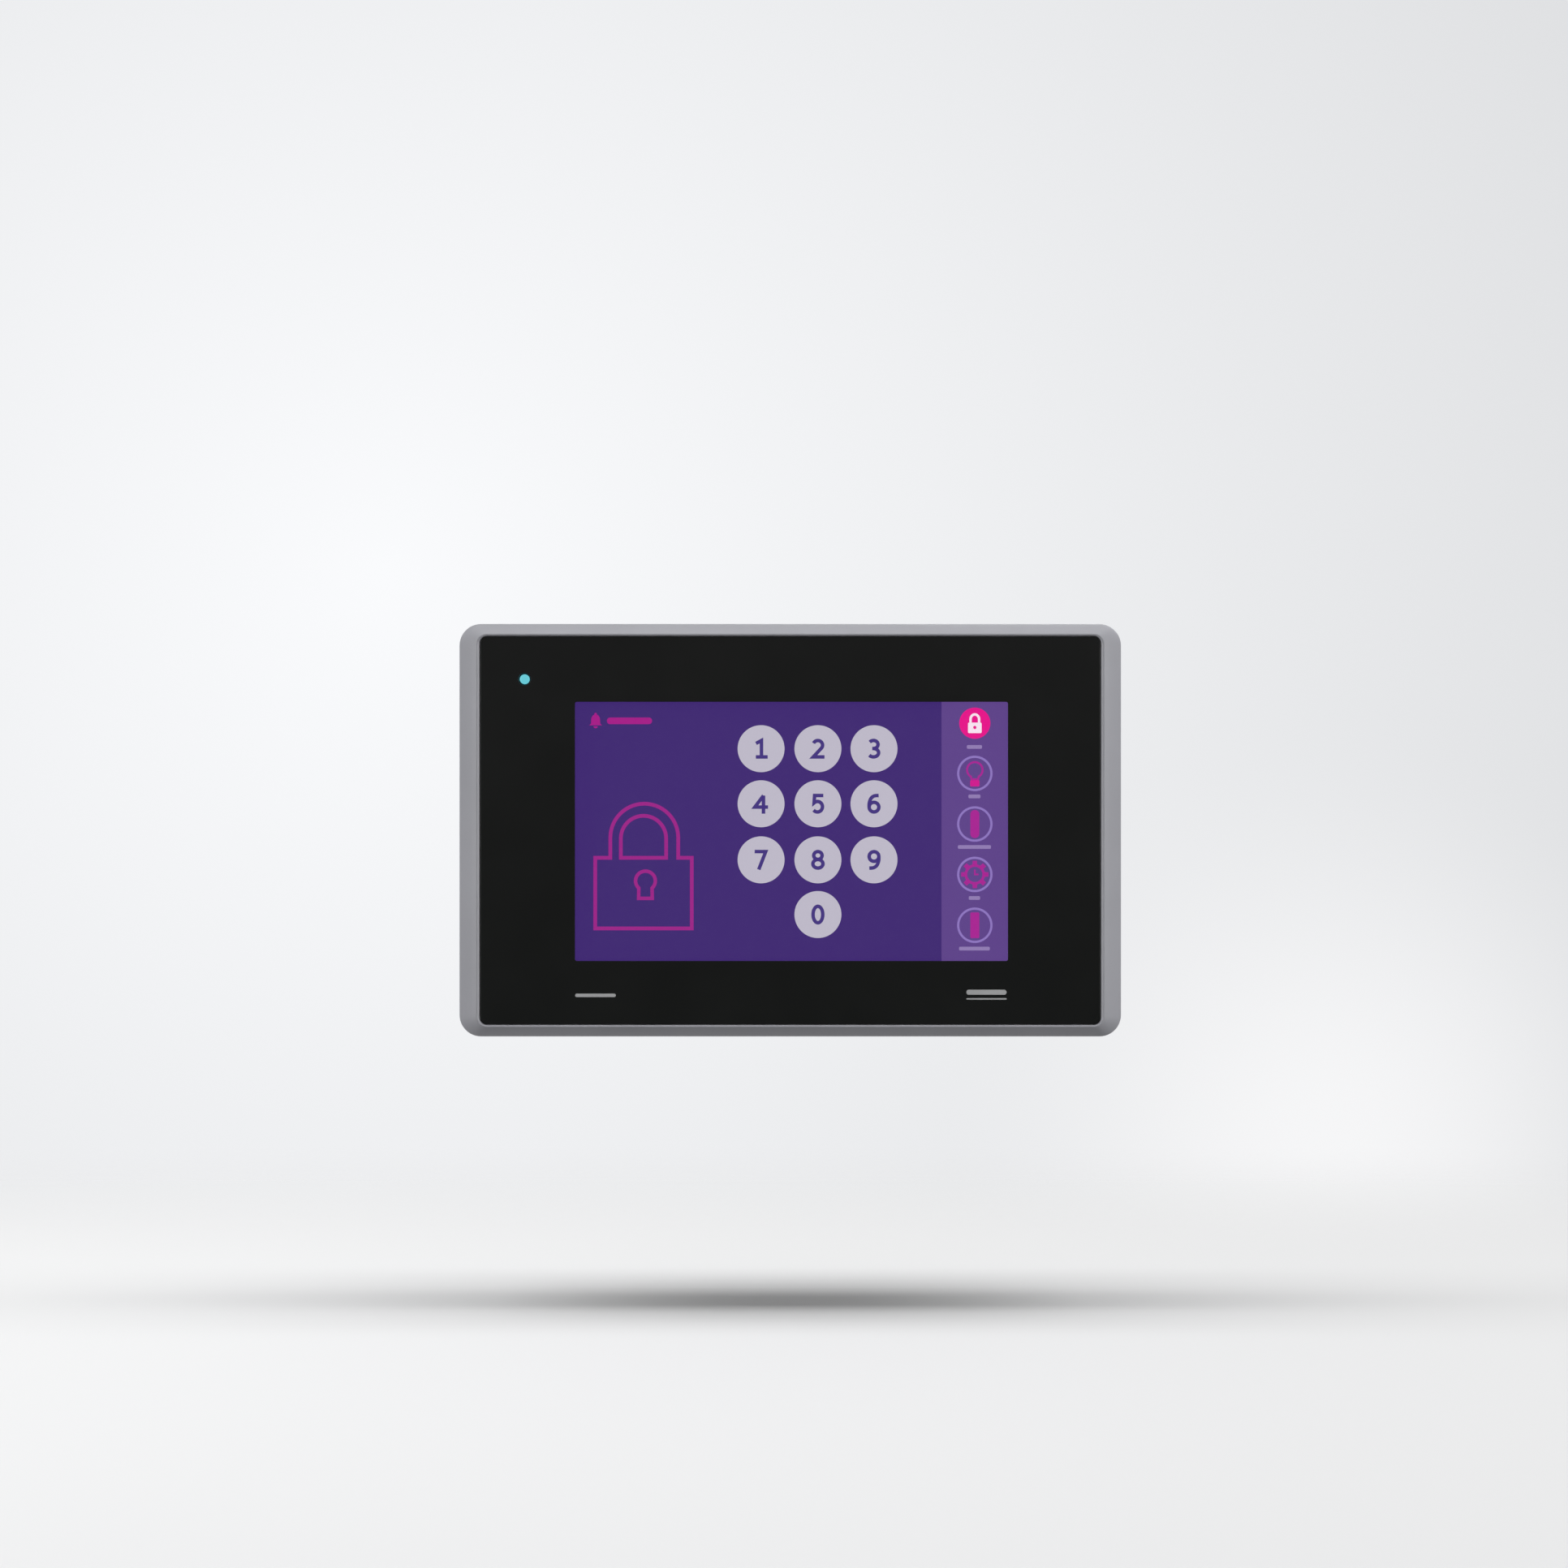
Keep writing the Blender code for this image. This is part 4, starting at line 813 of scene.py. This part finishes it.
def side_band():
    band = rectangle(38.85, 56.1, -34.0, 33.7)
    plate("screen_side_band", [band], *BAND, "band")
    plate("screen_alarm_disc", [circle(4.0, (ICON_X, ALARM_Z), 64)], *SHAPES, "hot")

    body = rounded_outline(3.5, 2.7, 0.3, (ICON_X, 26.3), 4)
    keyhole = circle(0.42, (ICON_X, 26.4), 20)
    foot_z = 27.66
    shackle = arc((ICON_X, 28.5), (1.1, 1.25), 180, 0, 14)
    shackle = [(ICON_X - 1.1, foot_z), *shackle, (ICON_X + 1.1, foot_z)]
    bm = bmesh.new()
    add_plate(bm, [body, keyhole[::-1]], *MARKS)
    add_ribbon(bm, shackle, 0.62, *MARKS)
    piece("screen_alarm_padlock", bm, "white")

    bm = bmesh.new()
    for z in RING_ROWS:
        outside, inside = (circle(radius, (ICON_X, z), 72) for radius in RING_RADII)
        add_plate(bm, [outside, inside[::-1]], *SHAPES)
    piece("screen_icon_rings", bm, "ring")

    bm = bmesh.new()
    for z, width in CAPTIONS:
        add_plate(bm, [rounded_outline(width, 0.95, 0.3, (ICON_X - 0.1, z), 4)], *SHAPES)
    piece("screen_caption_bars", bm, "caption")


def icon_glyphs():
    """A bulb, a tall rounded bar, a toothed wheel with clock hands, and a tall square bar."""
    bulb, heat, clock, level = RING_ROWS
    glass = arc((ICON_X, bulb + 0.9), (2.0, 2.0), -60, 240, 26)
    glass += [(ICON_X - 0.85, bulb - 1.5), (ICON_X + 0.85, bulb - 1.5)]
    wheel = []
    for tooth in range(8):
        for radius, angle in ((2.65, -13), (3.55, -9), (3.55, 9), (2.65, 13)):
            turn = math.radians(45 * tooth + angle)
            wheel.append((ICON_X + radius * math.cos(turn), clock + radius * math.sin(turn)))
    hands = [(ICON_X, clock + 1.25), (ICON_X, clock), (ICON_X + 0.95, clock)]
    bm = bmesh.new()
    add_ribbon(bm, glass, 0.5, *MARKS, closed=True)
    add_plate(bm, [rounded_outline(2.3, 7.2, 1.1, (ICON_X, heat), 10)], *MARKS)
    add_plate(bm, [rounded_outline(2.3, 6.6, 0.3, (ICON_X, level), 4)], *MARKS)
    add_plate(bm, [wheel, circle(1.95, (ICON_X, clock), 40)[::-1]], *MARKS)
    add_ribbon(bm, hands, 0.42, *MARKS)
    piece("screen_icon_glyphs", bm, "glyph")
    bulb_base = rounded_outline(2.4, 1.6, 0.3, (ICON_X, bulb - 2.55), 4)
    plate("screen_icon_bulb_base", [bulb_base], *MARKS, "bright")


def display_picture():
    spare = 0.9  # how far the ground reaches behind the film, over both sides
    ground = rounded_outline(WINDOW_SIZE[0] + spare, WINDOW_SIZE[1] + spare, 0.3, WINDOW_CENTRE, 3)
    plate("screen_ground", [ground], *GROUND, "purple", slot="lcd_purple")
    side_band()
    icon_glyphs()
    keypad()
    padlock_outline()
    heading()


# ---- Back and sides ----


def cross_cutter(reach, half_width, top, bottom, taper=0.55):
    """Cross-shaped punch for a screw head, narrower at its bottom."""
    sections = []
    for y, scale in ((top, 1.0), (bottom, taper)):
        far = reach * scale
        quarter = [(far, half_width), (half_width, half_width), (half_width, far)]
        half = quarter + [(-x, z) for x, z in quarter[::-1]]
        sections.append((half + turned_over(half), y))
    bm = bmesh.new()
    add_loft(bm, sections)
    return bm


def threaded_screw():
    """Clamp screw along Y about x = z = 0: turned tip, M4 thread, crowned head with a cross."""
    pitch, crest, root, ridge = 0.7, 2.0, 1.62, 0.42  # ridge is half its width, in pitches
    start, end, rows_per_turn, columns = 9.9, 34.4, 6, 28
    tip = [(0, 6.9), (1.15, 6.9), (1.3, 7.05), (1.3, 9.3), (root, 9.75)]
    head = [(root, 34.6), (1.9, 34.9), (1.9, 35.2), (3.35, 35.2), (3.5, 35.35), (3.5, 36.75)]
    head += [(3.3, 37.25), (2.85, 37.6), (2.0, 37.78), (0, 37.8)]
    rows = int((end - start) / pitch * rows_per_turn)
    thread = []
    for row in range(rows + 1):
        y = start + (end - start) * row / rows
        fade = min(1.0, row / rows_per_turn, (rows - row) / rows_per_turn)
        rim = []
        for column in range(columns):
            angle = 2 * math.pi * column / columns
            phase = (y / pitch + column / columns) % 1
            radius = root + (crest - root) * fade * max(0.0, 1 - abs(phase - 0.5) / ridge)
            rim.append((radius * math.cos(angle), y, radius * math.sin(angle)))
        thread.append(rim)
    tip, head = (
        [turned_rim(radius, y, steps=columns) for radius, y in profile] for profile in (tip, head)
    )
    bm = bmesh.new()
    add_skin(bm, tip + thread + head)
    cross = cross_cutter(reach=2.25, half_width=0.42, top=38.4, bottom=36.3)
    return combined(bm, cross, "DIFFERENCE")


def clamp_screws():
    shape = threaded_screw()
    for place in CLAMP_PLACES:
        name = f"clamp_screw_{place}"
        x, z = middle_xz(*box_mm(name))
        turn = Matrix.Rotation(math.radians(180 if place.startswith("bottom") else 0), 4, "Y")
        copy = shape.copy()
        copy.transform(Matrix.Translation((x * MM, 0, z * MM)) @ turn)
        piece(f"{name}_threaded", copy, "screw", body=name, smooth=38, slot="zinc", replaces=[name])
    shape.free()


def clamp_feet():
    """Nylon pads with a socket for the screw's tip behind and a flat face for the door."""
    low, high = box_mm("clamp_foot_top_left")
    front, back = low.y, high.y
    socket = [(0, front + 1.6), (1.5, front + 1.6), (1.65, front + 1.75)]
    socket += [(1.65, back - 0.2), (1.85, back)]
    skin = [(2.25, back), (2.45, back - 0.1), (2.58, back - 0.3), (3.2, front + 2.1)]
    skin += [(3.28, front + 1.8), (3.3, front + 1.5), (3.3, front + 0.5)]
    skin += [(3.22, front + 0.25), (3.05, front + 0.07), (2.8, front), (0, front)]
    for place in CLAMP_PLACES:
        name = f"clamp_foot_{place}"
        bm = bmesh.new()
        add_turned(bm, socket + skin, middle_xz(*box_mm(name)), 48)
        piece(f"{name}_pad", bm, "nylon", body=name, slot="white_nylon", replaces=[name])


def rating_label():
    """Silver label with plain bars and empty boxes where a real one is printed."""
    low, high = box_mm("rating_label")
    ink = high.y - 0.03, high.y
    film = rounded_outline(high.x - low.x, high.z - low.z, 1.5, middle_xz(low, high), 8)
    options = {"slot": "label_silver", "replaces": ["rating_label"]}
    plate("rating_label_film", [film], low.y, ink[0], "label", **options)

    bm = bmesh.new()
    line_start, line_top, line_pitch = high.x - 4, high.z - 4, 3.4
    for row, width in enumerate((30, 22, 26, 18, 24)):
        centre = (line_start - width / 2, line_top - 0.6 - line_pitch * row)
        add_plate(bm, [rounded_outline(width, 1.1, 0.2, centre, 3)], *ink)
    for step in range(3):
        centre = (low.x + 8 + 11 * step, high.z - 8)
        outside, inside = (rounded_outline(*size, centre, 4) for size in ((9, 9, 0.6), (8, 8, 0.3)))
        add_plate(bm, [outside, inside[::-1]], *ink)
    thin, middle, thick, gap = 0.3, 0.6, 0.9, 0.7
    stripes = [middle, thin, thick, thin, middle, thin, thin, thick, middle]
    stripes += [thin, thick, thin, middle, middle, thin, thick, thin, middle]
    x = low.x + 4
    for width in stripes:
        add_plate(bm, [rectangle(x, x + width, low.z + 4, low.z + 12)], *ink)
        x += width + gap
    piece("rating_label_marks", bm, "ink")


def ethernet_insert():
    """Black insert of the network port with eight sprung gold contacts."""
    low, high = box_mm("ethernet_insert")
    x = (low.x + high.x) / 2
    mouth = ((x - 5.9, 17.6, -26), (x + 5.9, 25.6, -10.5))
    latch = ((x - 3.1, 25, -26), (x + 3.1, 27.2, -16.5))
    options = {"slot": "port_black", "replaces": ["ethernet_insert"]}
    piece("ethernet_insert_body", hollow_box((low, high), [mouth, latch]), "black", **options)

    count, pitch, half_width, half_thickness = 8, 1.02, 0.22, 0.12
    spring = [(17.75, -20.8), (17.78, -19.8), (18.3, -17.5), (19.6, -13.2), (20.1, -10.6)]
    path = smooth_line(spring, 4)
    bm = bmesh.new()
    for number in range(count):
        middle = x + (number - (count - 1) / 2) * pitch
        left, right = middle - half_width, middle + half_width
        rims = []
        for step, (y, z) in enumerate(path):
            ahead, behind = path[min(step + 1, len(path) - 1)], path[max(step - 1, 0)]
            along = (Vector(ahead) - Vector(behind)).normalized()
            dy, dz = Vector((-along.y, along.x)) * half_thickness
            rims.append([
                (left, y + dy, z + dz),
                (right, y + dy, z + dz),
                (right, y - dy, z - dz),
                (left, y - dy, z - dz),
            ])
        add_skin(bm, rims)
    piece("ethernet_contacts", bm, "gold", replaces=["ethernet_insert"])


def power_header():
    """Green header shell with three square tinned pins."""
    low, high = box_mm("power_header")
    x = (low.x + high.x) / 2
    socket = ((x - 8, 16.7, -26), (x + 8, 24.9, -14.4))
    options = {"slot": "terminal_green", "replaces": ["power_header"]}
    piece("power_header_shell", hollow_box((low, high), [socket]), "green", **options)

    pole_pitch, half_width = 5.08, 0.5
    bm = bmesh.new()
    for pole in (-1, 0, 1):
        middle = x + pole_pitch * pole
        add_box(bm, (middle - half_width, 20, -22), (middle + half_width, 21, -14.2))
    bmesh.ops.bevel(
        bm, geom=bm.edges[:], offset=0.15 * MM, segments=2, profile=0.5, affect="EDGES"
    )
    piece("power_header_pins", bm, "tin", replaces=["power_header"])


# CAD nodes whose shape is right: (finish, width of the rounded edges where they get any)
KEPT_NODES = {
    "sealing_gasket": ("foam", 0),
    "touch_panel": ("glass", 0),
    "touch_flat_cable": ("flex", 0),
    "display_cushion": ("foam", 0),
    "lcd_cell": ("cell", 0),
    "lcd_light_guide": ("guide", 0),
    "lcd_tray": ("steel", 0),
    "lcd_flat_cable": ("flex", 0),
    "chassis_plate": ("steel", 0.15),
    "main_board": ("board", 0),
    "heat_sink": ("aluminium", 0.2),
    "buzzer": ("buzzer", 0.3),
    "battery_holder": ("black", 0.25),
    "coin_battery": ("coin", 0.3),
    "ethernet_shield": ("tin", 0),
    "usb_shell": ("tin", 0),
    "usb_tongue": ("tongue", 0),
    "serial_shell": ("tin", 0),
    "serial_insert": ("black", 0.15),
    "mode_switch_body": ("red", 0.2),
    "power_plug": ("green", 0.3),
    "rear_housing": ("case", 0.5),
    "ground_washer": ("zinc", 0.15),
    "ground_screw": ("screw", 0.2),
}
KEPT_NODES |= {f"clamp_{place}": ("zinc", 0.25) for place in CLAMP_PLACES}
for alike, how_many, finish_and_edge in (
    ("board_screw", 4, ("screw", 0)),
    ("housing_screw", 4, ("screw", 0)),
    ("serial_jack_nut", 2, ("screw", 0.2)),
    ("mode_switch_slider", 2, ("nylon", 0.15)),
    ("power_plug_screw", 3, ("screw", 0)),
    ("power_plug_cage", 3, ("zinc", 0)),
):
    KEPT_NODES |= {f"{alike}_{number + 1}": finish_and_edge for number in range(how_many)}


def dress_kept_nodes():
    """Gives CAD nodes a finish, and rounds edges with modifiers; their meshes stay as they are."""
    for node, (finish, edge) in KEPT_NODES.items():
        obj = NODES[node]
        if not obj.material_slots:
            obj.data.materials.append(MATERIALS[finish])
        for material_slot in obj.material_slots:
            material_slot.material = MATERIALS[finish]
        if edge:
            obj.modifiers.new("weld", "WELD").merge_threshold = 0.002 * MM
            round_off = obj.modifiers.new("round", "BEVEL")
            round_off.width, round_off.segments = edge * MM, 2
            round_off.limit_method, round_off.angle_limit = "ANGLE", math.radians(40)
            obj.modifiers.new("normals", "WEIGHTED_NORMAL").keep_sharp = False


# ---- Camera, lights and stage ----

CAMERA_PLACE, CAMERA_LENS = (-0.00161, -0.907, 0.01188), 80.8
FLOOR_Z = -0.1235
FLOOR_LIGHT = ("floor_key", (0, 0, 1.9), (0, 0, 0), (4.8, 0.8), 59)
OBJECT_LIGHTS = (  # name, place, aim, (width, height), watts
    ("key_above", (0, -0.04, 0.86), (0, 0, 0), (1.35, 0.8), 4.3),
    ("fill_left", (-1.2, -0.56, 0.16), (0, 0, 0), (0.7, 0.7), 7.2),
    ("fill_right", (1.2, -0.56, 0.2), (0, 0, 0), (0.7, 0.7), 8.2),
    ("back_soft", (0.5, 1.25, 0.6), (0, 0.04, 0), (0.9, 0.9), 9.0),
    ("low_back", (-0.2, 1.1, -0.75), (0, 0.02, 0), (1.0, 1.0), 2.0),
    ("low_front", (0, -0.35, -0.9), (0, 0, 0), (1.2, 0.6), 1.15),
)


def camera():
    data = bpy.data.cameras.new("camera")
    data.sensor_width, data.lens = 36.0, CAMERA_LENS
    data.clip_start, data.clip_end = 0.01, 20
    obj = bpy.data.objects.new("camera", data)
    obj.location = CAMERA_PLACE
    obj.rotation_euler = (math.radians(90), 0, 0)
    bpy.context.scene.collection.objects.link(obj)
    bpy.context.scene.camera = obj


def area_light(name, place, aim, size, power, ground, link_state):
    """Area light that lights only the ground (INCLUDE), or everything else (EXCLUDE)."""
    data = bpy.data.lights.new(name, "AREA")
    data.shape = "RECTANGLE"
    data.size, data.size_y = size
    data.energy = power
    obj = bpy.data.objects.new(name, data)
    obj.location = place
    obj.rotation_euler = (Vector(aim) - Vector(place)).to_track_quat("-Z", "Y").to_euler()
    obj.visible_camera = False
    bpy.context.scene.collection.objects.link(obj)
    linked = bpy.data.collections.new(f"{name}_receivers")
    linked.objects.link(ground)
    obj.light_linking.receiver_collection = linked
    linked.collection_objects[0].light_linking.link_state = link_state


def lights(ground):
    area_light(*FLOOR_LIGHT, ground, "INCLUDE")
    for light in OBJECT_LIGHTS:
        area_light(*light, ground, "EXCLUDE")


def world():
    """Dim studio round the object, brighter above and behind it than in front and below."""
    made = bpy.data.worlds.new("studio")
    bpy.context.scene.world = made
    made.use_nodes = True
    graph = Graph(made.node_tree)
    way = graph.add("TexCoord").outputs["Generated"]
    up_and_back = graph.vectors("DOT_PRODUCT", way, (0, 0.6, 0.8))
    brightness = graph.spread(up_and_back, 0.085, 0.34, start=-0.5, end=0.7)
    graph.feed(graph.tree.nodes["Background"].inputs["Color"], brightness)


def stage_object(name, bm):
    """Adds a piece of the studio, which neither lights the object nor shades it."""
    obj = mesh_object(name, bm)
    obj.data.shade_smooth()
    obj.visible_diffuse = obj.visible_glossy = obj.visible_shadow = False
    material = bpy.data.materials.new(name)
    material.use_nodes = True
    obj.data.materials.append(material)
    return obj, Graph(material.node_tree)


def backdrop():
    """Pale dome that only the camera sees, brightest behind the panel's upper left."""
    bm = bmesh.new()
    bmesh.ops.create_icosphere(bm, subdivisions=5, radius=3)
    obj, graph = stage_object("backdrop", bm)
    obj.visible_transmission = False
    graph.tree.nodes.clear()
    place = graph.add("TexCoord").outputs["Object"]
    painted_light_falloff = graph.ramp(place, (-0.44, 2.96, 0.24), 0, 1.5, 0, 1)
    base = graph.mix(painted_light_falloff, srgb(250, 251, 253), srgb(222, 223, 225))
    near_patch = graph.ramp(place, (0.6, 2.95, -0.375), 0, 0.46, 0.85, 0, smooth=True)
    lifted = graph.mix(near_patch, base, srgb(249, 249, 250))
    graph.add("OutputMaterial", Surface=graph.add("Emission", Color=lifted).outputs[0])


def floor():
    """Pale floor that takes the panel's shadow and fades out into the backdrop; its colour carries
    painted light, lighter near a point in front and to the left and darker farther off.
    """
    bm = bmesh.new()
    bmesh.ops.create_circle(bm, cap_ends=True, segments=96, radius=1.2)
    obj, graph = stage_object("floor", bm)
    obj.location.z = FLOOR_Z
    place = graph.add("TexCoord").outputs["Object"]
    # painted light: the floor's colour is lighter round a point in front and to the left and darker
    # away from it, standing in for the fall-off of the light
    painted_light_falloff = graph.ramp(place, (-0.3, -0.1, 0), 0.1, 0.6, 0, 1, smooth=True)
    shader = graph.tree.nodes["Principled BSDF"]
    painted_light_tone = graph.mix(painted_light_falloff, (0.84, 0.843, 0.848), (0.75, 0.752, 0.756))
    graph.feed(shader.inputs["Base Color"], painted_light_tone)
    graph.feed(shader.inputs["Roughness"], 0.9)
    graph.feed(shader.inputs["Specular IOR Level"], 0.1)
    back_fade = graph.ramp(place, (0, -3, 0), 3.09, 3.42, 0, 1, smooth=True)
    round_fade = graph.ramp(place, (0, 0, 0), 0.45, 1.15, 0, 1, smooth=True)
    faded = graph.maths("MAXIMUM", back_fade, round_fade)
    clear = graph.maths("MAXIMUM", faded, graph.add("NewGeometry").outputs["Backfacing"])
    nothing = graph.add("BsdfTransparent").outputs[0]
    seen = graph.add("MixShader", clear, shader.outputs[0], nothing).outputs[0]
    graph.feed(graph.tree.nodes["Material Output"].inputs["Surface"], seen)
    return obj


front_frame()
front_film()
front_marks()
status_light()
display_picture()
clamp_screws()
clamp_feet()
rating_label()
ethernet_insert()
power_header()
dress_kept_nodes()
camera()
world()
backdrop()
lights(floor())
bpy.context.scene.view_settings.view_transform = "Standard"
bpy.context.scene.view_settings.look = "None"
